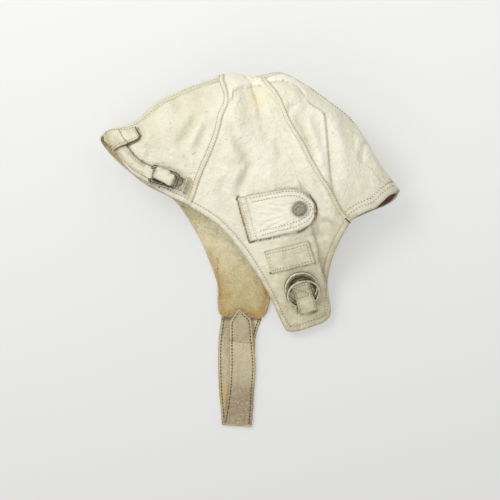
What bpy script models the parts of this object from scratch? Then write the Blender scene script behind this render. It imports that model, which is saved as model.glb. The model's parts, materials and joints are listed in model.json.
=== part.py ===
import math

import bmesh
import bpy
import numpy as np
from mathutils import Matrix, Vector
from mathutils.bvhtree import BVHTree

for old in list(bpy.data.objects):
    bpy.data.objects.remove(old)

# The cap lies on its left side on a table, as photographed: X towards the forehead, Y towards the crown, Z up.
CAP_LENGTH = 0.2673
CAP_HEIGHT = 0.2304
CAP_THICK = 0.075
LEATHER = 0.0016
GAP = 0.0003
FLOOR = 0.0015
FLOOR_SOFT = 0.003
POCKET_BUMP = 0.0086
POCKET_BUMP_RADIUS = 0.045
FLAP_FOLD_GAP = 0.0006
CREST_ANGLE = math.radians(76)
NAPE_START = 0.42
BROW_END = 21.72
SEAM_A = 5
SEAM_B = 17

STRIP_THICK = 0.0012
STRIP_CLEAR = 0.0002
STRIP_ROWS = 60
PRESS_FROM = 0.0060
PRESS_FLAT = 0.0022
STRIP_BEND_SHARE = 0.25
REAR_STRIP_WIDTH = 0.0062
FRONT_STRIP_WIDTH = 0.0046
FACING_THICK = 0.0010
FACING_WIDTH = 0.019

POCKET_THICK = 0.0016
POCKET_RISE = 0.0045
HEM_THICK = 0.0016
PATCH_THICK = 0.0014
SOUND_HOLE_RADIUS = 0.002
SOUND_HOLE_PITCH = 0.007
SOUND_HOLE_REACH = 0.012

SNAP_RADIUS = 0.0070
SNAP_DOME = 0.0016
SNAP_RIM = 0.0006
SOCKET_RADIUS = 0.0048
SOCKET_BORE = 0.0023
SOCKET_HEIGHT = 0.0013
STUD_BASE_RADIUS = 0.0045
STUD_BASE_HEIGHT = 0.0005
STUD_POST_RADIUS = 0.0018
STUD_POST_HEIGHT = 0.0024
BACK_RADIUS = 0.0045
BACK_THICK = 0.0007

RING_RADIUS = 0.0144
RING_WIRE = 0.00125
TAB_LAYER = 0.0011
TAB_CAVITY = 0.0078
TAB_NOSE_SHARE = 0.5
TAB_NOSE_POWER_SHARE = 0.75
RING_CLEAR = 0.0004
RING_PAIR_SHARE = 0.734
RING_STACK_ANGLE = math.radians(30)
LOWER_RING_LEAN = math.radians(-1)
UPPER_RING_LEAN = math.radians(16)
TAB_WIDTH = 0.0160
FAR_TURN = math.radians(-13.8)

STRAP_THICK = 0.0017
STRAP_BEND_CLEAR = 0.0006
STRAP_END_RISE = 0.0125

NAPE_STRAP_WIDTH = 0.0102
NAPE_STRAP_THICK = 0.0014
KEEPER_THICK = 0.0016
KEEPER_LEAST = 0.030
FRAME_LENGTH = 0.0236
FRAME_WIDTH = 0.0156
FRAME_WIRE = 0.0010
FRAME_CORNER = 0.0030
LOOP_WRAP = 0.0009
LOOP_WIDTH = 0.0072
BAR_WIRE = 0.0008
COVER_THICK = 0.0012
COVER_WIDTH = 0.0144
COVER_OFFSET = 0.0024
COVER_END = 0.0020
BAIL_LENGTH = 0.0038
BAIL_WIRE = 0.0007
TIP_LENGTH = 0.0044
TIP_SEAM_CLEAR = 0.0005
TIP_WIDTH = 0.0144
TIP_THICK = 0.0036
WIRE_SIDES = 8
ROUND_SIDES = 20

# Ribs from nape to forehead as shares of length, height and thickness: near edge, crest, far edge, bulge.
RIB_SHARES = (
    ((0.000, 0.754, 0.293), (0.000, 0.754, 0.307), (0.000, 0.754, 0.280), 0.000),
    ((0.047, 0.711, 0.453), (0.037, 0.781, 0.400), (0.010, 0.727, 0.133), 0.107),
    ((0.098, 0.629, 0.533), (0.121, 0.812, 0.480), (0.040, 0.684, 0.060), 0.187),
    ((0.155, 0.586, 0.547), (0.192, 0.887, 0.507), (0.084, 0.637, 0.030), 0.227),
    ((0.215, 0.539, 0.560), (0.290, 0.945, 0.533), (0.152, 0.574, 0.020), 0.267),
    ((0.293, 0.492, 0.560), (0.407, 0.992, 0.533), (0.239, 0.520, 0.015), 0.293),
    ((0.401, 0.410, 0.507), (0.434, 1.000, 0.560), (0.283, 0.461, 0.015), 0.333),
    ((0.502, 0.266, 0.293), (0.455, 1.002, 0.560), (0.337, 0.352, 0.015), 0.373),
    ((0.569, 0.137, 0.180), (0.468, 1.000, 0.560), (0.377, 0.238, 0.015), 0.400),
    ((0.616, 0.020, 0.120), (0.478, 0.996, 0.560), (0.397, 0.160, 0.015), 0.400),
    ((0.636, 0.000, 0.110), (0.483, 0.994, 0.560), (0.397, 0.094, 0.015), 0.400),
    ((0.670, 0.004, 0.105), (0.488, 0.992, 0.560), (0.407, 0.062, 0.015), 0.400),
    ((0.710, 0.020, 0.105), (0.492, 0.990, 0.560), (0.468, 0.059, 0.015), 0.400),
    ((0.751, 0.039, 0.105), (0.495, 0.988, 0.560), (0.532, 0.051, 0.015), 0.400),
    ((0.771, 0.074, 0.110), (0.498, 0.986, 0.560), (0.559, 0.078, 0.015), 0.400),
    ((0.761, 0.180, 0.180), (0.502, 0.984, 0.560), (0.572, 0.137, 0.015), 0.400),
    ((0.781, 0.301, 0.400), (0.512, 0.982, 0.560), (0.613, 0.270, 0.015), 0.373),
    ((0.835, 0.422, 0.560), (0.529, 0.988, 0.560), (0.731, 0.387, 0.020), 0.320),
    ((0.879, 0.461, 0.587), (0.606, 0.996, 0.560), (0.822, 0.426, 0.030), 0.240),
    ((0.929, 0.484, 0.560), (0.710, 0.934, 0.533), (0.899, 0.465, 0.050), 0.187),
    ((0.973, 0.512, 0.507), (0.832, 0.828, 0.467), (0.956, 0.492, 0.100), 0.133),
    ((0.993, 0.531, 0.427), (0.926, 0.668, 0.400), (0.987, 0.516, 0.187), 0.067),
    ((1.000, 0.543, 0.347), (1.000, 0.543, 0.360), (1.000, 0.543, 0.333), 0.000),
)
# Places on the cap as shares of length and height.
NEAR_FOLD_SHARES = ((0.468, 0.311), (0.822, 0.408))
FAR_FOLD_SHARES = ((0.300, 0.371), (0.737, 0.371))
FAR_POCKET_SHARE = (0.508, 0.484)
NEAR_POCKET_SHARE = (0.582, 0.445)
FAR_PATCH_SHARE = (0.488, 0.301)
NEAR_PATCH_SHARE = (0.638, 0.288)
POCKET_TOP_SHARES = ((0.456, 0.521), (0.488, 0.530), (0.529, 0.539), (0.576, 0.550), (0.620, 0.558), (0.660, 0.557), (0.690, 0.541), (0.710, 0.518), (0.722, 0.490))
POCKET_LOW_SHARES = ((0.502, 0.344), (0.534, 0.351), (0.562, 0.358), (0.599, 0.368), (0.640, 0.379), (0.670, 0.389), (0.697, 0.406), (0.716, 0.434), (0.725, 0.463))
SNAP_SHARE = (0.663, 0.484)
PATCH_LEFT_SHARES = ((0.552, 0.309), (0.577, 0.227))
PATCH_RIGHT_SHARES = ((0.699, 0.350), (0.723, 0.268))
TAB_TOP_SHARE = (0.670, 0.184)
TAB_FOLD_SHARE = (0.697, 0.080)
STRAP_LEFT_SHARES = ((0.407, 0.047), (0.399, -0.027), (0.396, -0.102), (0.399, -0.215), (0.404, -0.289), (0.409, -0.359))
STRAP_RIGHT_SHARES = ((0.539, 0.047), (0.525, 0.000), (0.517, -0.051), (0.517, -0.176), (0.510, -0.289), (0.505, -0.367))
ROOT_LEFT_SHARES = ((0.418, 0.121), (0.408, 0.051))
ROOT_RIGHT_SHARES = ((0.532, 0.121), (0.539, 0.051))
END_LEFT_SHARES = ((0.412, -0.359), (0.423, -0.289), (0.431, -0.215), (0.434, -0.141), (0.434, -0.055), (0.434, 0.027), (0.448, 0.057), (0.461, 0.082))
END_RIGHT_SHARES = ((0.506, -0.367), (0.510, -0.309), (0.513, -0.238), (0.519, -0.141), (0.513, -0.055), (0.507, 0.035), (0.487, 0.062), (0.470, 0.082))
NAPE_PATH_SHARES = ((0.061, 0.727), (0.081, 0.703), (0.104, 0.670), (0.131, 0.643), (0.165, 0.621), (0.199, 0.605), (0.232, 0.590), (0.263, 0.576), (0.283, 0.568))
BUCKLE_SHARE = (0.216, 0.602)
BUCKLE_AHEAD_SHARE = (0.266, 0.584)
TIP_SHARE = (0.288, 0.569)
KEEPER_LEFT_SHARES = ((0.012, 0.756), (0.037, 0.773), (0.071, 0.791), (0.101, 0.803), (0.121, 0.809))
KEEPER_RIGHT_SHARES = ((0.052, 0.709), (0.071, 0.727), (0.094, 0.744), (0.118, 0.758), (0.135, 0.770))

parts = bpy.data.collections.new("flying_cap")
helpers = bpy.data.collections.new("cutters")
for collection in (parts, helpers):
    bpy.context.scene.collection.children.link(collection)


def spot(share):
    """Metres on the table for a place written as shares of the cap's length and height."""
    return np.array((share[0] * CAP_LENGTH, share[1] * CAP_HEIGHT))


scale = np.array((CAP_LENGTH, CAP_HEIGHT, CAP_THICK))
ribs = np.array(
    [np.concatenate([np.array(near) * scale, np.array(crest) * scale, np.array(far) * scale, [bulge * CAP_THICK]])
     for near, crest, far, bulge in RIB_SHARES]
)


def rib(u):
    """The rib's ten numbers at any place along the cap, by a curve through the table's rows."""
    u = np.clip(np.asarray(u, float), 0, len(ribs) - 1)
    i = np.minimum(u.astype(int), len(ribs) - 2)
    t = (u - i)[..., None]
    a, b, c, d = (ribs[np.clip(i + k, 0, len(ribs) - 1)] for k in (-1, 0, 1, 2))
    return 0.5 * (2 * b + (c - a) * t + (2 * a - 5 * b + 4 * c - d) * t**2 + (3 * b - a - 3 * c + d) * t**3)


def floor_height(x, y):
    centre = spot(FAR_POCKET_SHARE)
    away = np.hypot(x - centre[0], y - centre[1]) / POCKET_BUMP_RADIUS
    return FLOOR + POCKET_BUMP * np.exp(-(away**4))


def shell(u, phi):
    """A point of the cap's outer face: phi runs from the near edge over the crest to the far edge."""
    v = rib(u)
    phi = np.asarray(phi, float)[..., None]
    near, crest, far = v[..., 0:3], v[..., 3:6], v[..., 6:9]
    middle = (near + far) / 2
    p = middle + (crest - middle) * np.sin(phi) + (near - middle) * np.cos(phi)
    z = p[..., 2] + v[..., 9] * np.sin(2 * phi[..., 0])
    low = floor_height(p[..., 0], p[..., 1])
    over = z - low
    z = low + (over + np.sqrt(over**2 + FLOOR_SOFT**2)) / 2
    return np.stack([p[..., 0], p[..., 1], z], -1)


def colour(name, rgb, metal):
    material = bpy.data.materials.new(name)
    material.use_nodes = True
    material.diffuse_color = (*rgb, 1)
    shader = material.node_tree.nodes["Principled BSDF"]
    shader.inputs["Base Color"].default_value = (*rgb, 1)
    shader.inputs["Metallic"].default_value = metal
    return material


LEATHER_TINT = (0.72, 0.69, 0.56)
SUEDE_TINT = (0.45, 0.30, 0.15)
NICKEL_TINT = (0.40, 0.36, 0.29)


def add_object(name, points, faces, tint, metal=0.0, pivot=None):
    points = np.asarray(points, float)
    pivot = np.zeros(3) if pivot is None else np.asarray(pivot, float)
    mesh = bpy.data.meshes.new(name)
    mesh.from_pydata([tuple(p) for p in points - pivot], [], [tuple(int(i) for i in f) for f in faces])
    body = bmesh.new()
    body.from_mesh(mesh)
    bmesh.ops.recalc_face_normals(body, faces=body.faces)
    body.to_mesh(mesh)
    body.free()
    made = bpy.data.objects.new(name, mesh)
    made.location = pivot
    mesh.materials.append(colour(name, tint, metal))
    parts.objects.link(made)
    return made


def grid_faces(rows, cols, first=0):
    return [
        (first + r * cols + c, first + r * cols + c + 1, first + (r + 1) * cols + c + 1, first + (r + 1) * cols + c)
        for r in range(rows - 1) for c in range(cols - 1)
    ]


def grid_normals(grid, up=None):
    along = np.gradient(grid, axis=0)
    across = np.gradient(grid, axis=1)
    n = np.cross(along, across)
    n /= np.maximum(np.linalg.norm(n, axis=-1, keepdims=True), 1e-12)
    if up is not None:
        n *= np.where((n * up).sum(-1, keepdims=True) < 0, -1, 1)
    return n


def closed_sheet(name, outer, inner, tint, pivot=None):
    """A closed body between two grids of the same shape."""
    rows, cols = outer.shape[:2]
    count = rows * cols
    faces = grid_faces(rows, cols) + [tuple(reversed(f)) for f in grid_faces(rows, cols, count)]
    ring = (
        [c for c in range(cols)] + [r * cols + cols - 1 for r in range(1, rows)]
        + [(rows - 1) * cols + c for c in range(cols - 2, -1, -1)] + [r * cols for r in range(rows - 2, 0, -1)]
    )
    for a, b in zip(ring, ring[1:] + ring[:1]):
        faces.append((a, b, b + count, a + count))
    points = np.concatenate([outer.reshape(-1, 3), inner.reshape(-1, 3)])
    return add_object(name, points, faces, tint, 0.0, pivot)


skin_points, skin_faces = [], []


def remember(points, faces):
    first = sum(len(p) for p in skin_points)
    skin_points.append(np.asarray(points))
    skin_faces.extend([tuple(first + int(i) for i in f) for f in faces])


def shell_normal(u, phi):
    """The outer face's normal, outwards from the middle of the cap."""
    step = 0.004
    n = np.cross(shell(u + step, phi) - shell(u - step, phi), shell(u, phi + step) - shell(u, phi - step))
    return n / np.maximum(np.linalg.norm(n, axis=-1, keepdims=True), 1e-12)


def panel(name, u_places, phi_places):
    """A leather panel of the shell, thinner where the cap closes to a point."""
    u, phi = np.meshgrid(u_places, phi_places, indexing="ij")
    outer = shell(u, phi)
    n = shell_normal(u, phi)
    ends = np.clip(np.minimum(u - NAPE_START, BROW_END - u) + 0.45, 0, 1)[..., None]
    inner = outer - n * LEATHER * ends
    remember(outer.reshape(-1, 3), grid_faces(*outer.shape[:2]))
    return closed_sheet(name, outer, inner, LEATHER_TINT)


def solid_from_sheet(name, body, depth, pivot=None):
    """Closes an open sheet with a second layer at the given depth inside it."""
    body.normal_update()
    body.verts.ensure_lookup_table()
    count = len(body.verts)
    points = np.array([v.co[:] for v in body.verts])
    normals = np.array([v.normal[:] for v in body.verts])
    faces = [tuple(v.index for v in f.verts) for f in body.faces]
    remember(points, faces)
    both = faces + [tuple(i + count for i in reversed(f)) for f in faces]
    for edge in body.edges:
        if len(edge.link_faces) != 1:
            continue
        loop = edge.link_loops[0]
        a, b = loop.vert.index, loop.link_loop_next.vert.index
        both.append((b, a, a + count, b + count))
    return add_object(name, np.concatenate([points, points - normals * depth]), both, LEATHER_TINT, 0.0, pivot)


# The panels in front of and behind the ear to ear band.
rear_u = np.array([NAPE_START, 0.7, 1, 1.5, 2, 2.5, 3, 3.5, 4, 4.5, SEAM_A - 0.02])
front_u = np.array([SEAM_B + 0.02, 17.3, 17.65, 18, 18.4, 18.8, 19.2, 19.6, 20, 20.4, 20.8, 21.2, 21.5, BROW_END])
near_phi = np.linspace(0, CREST_ANGLE - 0.004, 11)
far_phi = np.linspace(CREST_ANGLE + 0.004, math.pi, 14)
panel("near_rear_panel", rear_u, near_phi)
panel("far_rear_panel", rear_u, far_phi)
panel("near_front_panel", front_u, near_phi)
panel("far_front_panel", front_u, far_phi)


def fold_plane(shares):
    """A point on the fold line, its direction, and the level direction across it towards the crown."""
    a, b = spot(shares[0]), spot(shares[1])
    along = (b - a) / np.linalg.norm(b - a)
    across = np.array((-along[1], along[0]))
    if across[1] < 0:
        across = -across
    return a, along, across


def band_sheet():
    u = np.concatenate([np.linspace(SEAM_A + 0.02, 8, 9), np.linspace(8.5, 15, 14), np.linspace(15.3, SEAM_B - 0.02, 7)])
    phi = np.linspace(0, math.pi, 35)
    uu, pp = np.meshgrid(u, phi, indexing="ij")
    grid = shell(uu, pp)
    body = bmesh.new()
    side = body.verts.layers.float.new("phi")
    for p, angle in zip(grid.reshape(-1, 3), pp.reshape(-1)):
        body.verts.new(p)[side] = angle
    body.verts.ensure_lookup_table()
    for f in grid_faces(len(u), len(phi)):
        body.faces.new([body.verts[i] for i in reversed(f)])
    body.normal_update()
    return body, side


def cut_sheet(body, side, shares, near, offset):
    start, along, across = fold_plane(shares)
    point = start + across * offset
    faces = [f for f in body.faces if (np.mean([v[side] for v in f.verts]) < math.pi / 2) == near]
    geometry = faces + list({e for f in faces for e in f.edges}) + list({v for f in faces for v in f.verts})
    bmesh.ops.bisect_plane(
        body, geom=geometry, dist=1e-7, plane_co=(point[0], point[1], 0), plane_no=(across[0], across[1], 0)
    )


def face_side(face, side, shares):
    start, along, across = fold_plane(shares)
    centre = face.calc_center_median()
    return float(np.dot(np.array(centre[:2]) - start, across))


body, side = band_sheet()
for shares, near in ((NEAR_FOLD_SHARES, True), (FAR_FOLD_SHARES, False)):
    for offset in (-FLAP_FOLD_GAP / 2, FLAP_FOLD_GAP / 2):
        cut_sheet(body, side, shares, near, offset)
sheets = {"crown_band": [], "near_ear_flap": [], "far_ear_flap": []}
for face in body.faces:
    angle = np.mean([v[side] for v in face.verts])
    near = angle < math.pi / 2
    away = face_side(face, side, NEAR_FOLD_SHARES if near else FAR_FOLD_SHARES)
    if away > FLAP_FOLD_GAP / 2 - 1e-6:
        sheets["crown_band"].append(face.index)
    elif away < 1e-6 - FLAP_FOLD_GAP / 2:
        sheets["near_ear_flap" if near else "far_ear_flap"].append(face.index)


def keep_faces(source, indices):
    copy = source.copy()
    copy.faces.ensure_lookup_table()
    chosen = set(indices)
    bmesh.ops.delete(copy, geom=[f for f in copy.faces if f.index not in chosen], context="FACES")
    bmesh.ops.remove_doubles(copy, verts=copy.verts, dist=0.0002)
    bmesh.ops.dissolve_degenerate(copy, edges=copy.edges, dist=0.0001)
    copy.verts.index_update()
    copy.faces.index_update()
    # A wedge that the cut leaves hanging by one point is dropped.
    seen, groups = set(), []
    for first in copy.faces:
        if first in seen:
            continue
        group, queue = [], [first]
        seen.add(first)
        while queue:
            f = queue.pop()
            group.append(f)
            for e in f.edges:
                for other in e.link_faces:
                    if other not in seen:
                        seen.add(other)
                        queue.append(other)
        groups.append(group)
    groups.sort(key=len)
    loose = [f for group in groups[:-1] for f in group]
    if loose:
        bmesh.ops.delete(copy, geom=loose, context="FACES")
    copy.verts.index_update()
    copy.faces.index_update()
    return copy


body.faces.index_update()
made_sheets = {name: keep_faces(body, indices) for name, indices in sheets.items()}


def fold_axis(shares, near):
    """A place on the fold line, just outside the leather, where the flap hinges."""
    start, along, across = fold_plane(shares)
    tree = BVHTree.FromBMesh(body)
    places = []
    length = np.linalg.norm(spot(shares[1]) - spot(shares[0]))
    for share in np.linspace(0.12, 0.88, 20):
        p = start + along * length * share
        z = CAP_THICK * 2 if near else -CAP_THICK
        hit = tree.ray_cast(Vector((p[0], p[1], z)), Vector((0, 0, -1 if near else 1)))[0]
        if hit is not None:
            places.append(np.array(hit[:]))
    places = np.array(places)
    direction = np.array((*along, 0.0))
    middle = places.mean(0)
    middle[2] = (places[:, 2].max() + GAP) if near else (places[:, 2].min() - GAP)
    return middle, direction


near_flap_axis = fold_axis(NEAR_FOLD_SHARES, True)
far_flap_axis = fold_axis(FAR_FOLD_SHARES, False)
solid_from_sheet("crown_band", made_sheets["crown_band"], LEATHER)
solid_from_sheet("near_ear_flap", made_sheets["near_ear_flap"], LEATHER, near_flap_axis[0])
solid_from_sheet("far_ear_flap", made_sheets["far_ear_flap"], LEATHER, far_flap_axis[0])
for sheet in made_sheets.values():
    sheet.free()
body.free()

skin = BVHTree.FromPolygons([tuple(p) for p in np.concatenate(skin_points)], skin_faces)


def smooth_grid(values, times=2):
    for _ in range(times):
        padded = np.pad(values, ((1, 1), (1, 1)) + ((0, 0),) * (values.ndim - 2), mode="reflect", reflect_type="odd")
        values = (padded[1:-1, 1:-1] * 2 + padded[:-2, 1:-1] + padded[2:, 1:-1] + padded[1:-1, :-2] + padded[1:-1, 2:]) / 6
    return values


def lay(flat, near=True, tree=None, least=0.0):
    """Drops a grid of table places on the cap's outer face, from above or from below."""
    tree = tree or skin
    out = np.zeros((*flat.shape[:2], 3))
    start = CAP_THICK * 2 if near else -CAP_THICK
    found = np.ones(flat.shape[:2], bool)
    for index in np.ndindex(flat.shape[:2]):
        x, y = flat[index]
        hit = tree.ray_cast(Vector((x, y, start)), Vector((0, 0, -1 if near else 1)))[0]
        if hit is None or hit[2] < least:
            found[index] = False
            out[index] = (x, y, 0)
        else:
            out[index] = hit[:]
    if not found.all():
        good = np.argwhere(found)
        for index in np.argwhere(~found):
            nearest = good[np.argmin(((good - index) ** 2).sum(1))]
            out[tuple(index)][2] = out[tuple(nearest)][2]
    return out


def polyline(points, count):
    """Evenly spaced places on a smooth curve through the points."""
    points = np.asarray(points, float)
    fine = []
    for i in range(len(points) - 1):
        a, b, c, d = (points[min(max(i + k, 0), len(points) - 1)] for k in (-1, 0, 1, 2))
        for t in np.arange(0, 1, 0.1):
            fine.append(0.5 * (2 * b + (c - a) * t + (2 * a - 5 * b + 4 * c - d) * t**2 + (3 * b - a - 3 * c + d) * t**3))
    fine.append(points[-1])
    fine = np.array(fine)
    reach = np.concatenate([[0], np.cumsum(np.linalg.norm(np.diff(fine, axis=0), axis=1))])
    at = np.linspace(0, reach[-1], count)
    return np.stack([np.interp(at, reach, fine[:, k]) for k in range(points.shape[1])], 1)


def between(left, right, rows, cols):
    a = polyline([spot(s) for s in left], rows) if len(left) > 2 else np.linspace(spot(left[0]), spot(left[1]), rows)
    b = polyline([spot(s) for s in right], rows) if len(right) > 2 else np.linspace(spot(right[0]), spot(right[1]), rows)
    t = np.linspace(0, 1, cols)[None, :, None]
    return a[:, None] * (1 - t) + b[:, None] * t


def turned(flat, centre_from, centre_to, angle):
    """The same outline moved to another place on the cap and turned in plan."""
    c, s = math.cos(angle), math.sin(angle)
    turn = np.array(((c, -s), (s, c)))
    return (flat - centre_from) @ turn.T + centre_to


UP = np.array((0, 0, 1.0))


def draped(name, flat, lift, thick, near=True, tint=LEATHER_TINT, pivot=None, smooth=2, tree=None, least=0.0):
    on = lay(flat, near, tree, least)
    on[..., 2] = smooth_grid(on[..., 2], smooth)
    n = grid_normals(on, UP) if near else np.broadcast_to(-UP, on.shape)
    lift = np.broadcast_to(np.asarray(lift, float), flat.shape[:2])[..., None]
    low = on + n * lift
    return closed_sheet(name, low + n * thick, low, tint, pivot), low, n


def seam_strip(name, u, width, cols=3):
    fine = np.linspace(0.02, math.pi - 0.02, 400)
    track = shell(np.full(400, float(u)), fine)
    bend = np.linalg.norm(np.gradient(np.gradient(track, axis=0), axis=0), axis=1) ** 0.5
    pace = np.linalg.norm(np.gradient(track, axis=0), axis=1) + bend * STRIP_BEND_SHARE
    reach = np.cumsum(pace)
    phi = np.interp(np.linspace(reach[0], reach[-1], STRIP_ROWS), reach, fine)
    rows = []
    for angle in phi:
        here = shell(np.array(float(u)), np.array(angle))
        step = shell(np.array(u + 0.05), np.array(angle)) - shell(np.array(u - 0.05), np.array(angle))
        down = shell(np.array(float(u)), np.array(angle + 0.01)) - here
        down /= np.linalg.norm(down)
        step -= down * np.dot(step, down)
        step /= np.linalg.norm(step)
        rows.append([here + step * width * k for k in np.linspace(-0.5, 0.5, cols)])
    grid = np.array(rows)
    for index in np.ndindex(grid.shape[:2]):
        grid[index] = skin.find_nearest(Vector(grid[index]))[0][:]
    n = grid_normals(grid)
    middle = grid.mean((0, 1))
    n *= np.where(((grid - middle) * n).sum(-1, keepdims=True) < 0, -1, 1)
    low = grid + n * (GAP + STRIP_CLEAR)
    outer = low + n * STRIP_THICK
    # The part that lies on the table is pressed flat, so that the cap stands on it.
    press = np.clip((PRESS_FROM - outer[..., 2]) / (PRESS_FROM - PRESS_FLAT), 0, 1)
    outer[..., 2] *= 1 - press
    closed_sheet(name, outer, low, LEATHER_TINT)
    flat = outer[:, cols // 2][outer[:, :, 2].max(1) < GAP / 100]
    return flat[len(flat) // 2]


rear_rest = seam_strip("rear_seam_strip", SEAM_A, REAR_STRIP_WIDTH)
front_rest = seam_strip("front_seam_strip", SEAM_B, FRONT_STRIP_WIDTH)


def facing(name, near):
    """The sweatband strip inside the brow, along one side's edge."""
    u = np.array([17.3, 17.7, 18.1, 18.5, 18.9, 19.3, 19.7, 20.1, 20.5])
    shares_in = np.linspace(0.10, 1, 5)
    rows = []
    for place in u:
        edge = 0.0 if near else math.pi
        toward = 1 if near else -1
        step = 0.01
        speed = np.linalg.norm(shell(np.array(place), np.array(edge + toward * step)) - shell(np.array(place), np.array(edge))) / step
        reach = min(FACING_WIDTH / speed, 0.9)
        rows.append([edge + toward * reach * s for s in shares_in])
    phi = np.array(rows)
    uu = np.broadcast_to(u[:, None], phi.shape)
    n = shell_normal(uu, phi)
    outer = shell(uu, phi) - n * (LEATHER + GAP * 2)
    return closed_sheet(name, outer, outer - n * FACING_THICK, SUEDE_TINT)


facing("near_brow_facing", True)
facing("far_brow_facing", False)


def lathe(name, profile, origin, normal, tint, metal, pivot=None, sides=ROUND_SIDES):
    """A round piece: the profile is a closed list of radius and height pairs, or starts and ends on the axis."""
    normal = Vector(normal).normalized()
    turn = normal.to_track_quat("Z", "Y").to_matrix()
    points, index = [], []
    for radius, height in profile:
        if radius < 1e-9:
            index.append([len(points)] * sides)
            points.append((0, 0, height))
        else:
            index.append(list(range(len(points), len(points) + sides)))
            for k in range(sides):
                a = 2 * math.pi * k / sides
                points.append((radius * math.cos(a), radius * math.sin(a), height))
    faces = []
    pairs = list(zip(index, index[1:]))
    if profile[0][0] > 1e-9:
        pairs.append((index[-1], index[0]))
    for a, b in pairs:
        for k in range(sides):
            m = (k + 1) % sides
            face = []
            for i in (a[k], a[m], b[m], b[k]):
                if i not in face:
                    face.append(i)
            if len(face) > 2:
                faces.append(face)
    world = np.array([tuple(turn @ Vector(p) + Vector(origin)) for p in points])
    return add_object(name, world, faces, tint, metal, pivot)


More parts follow.
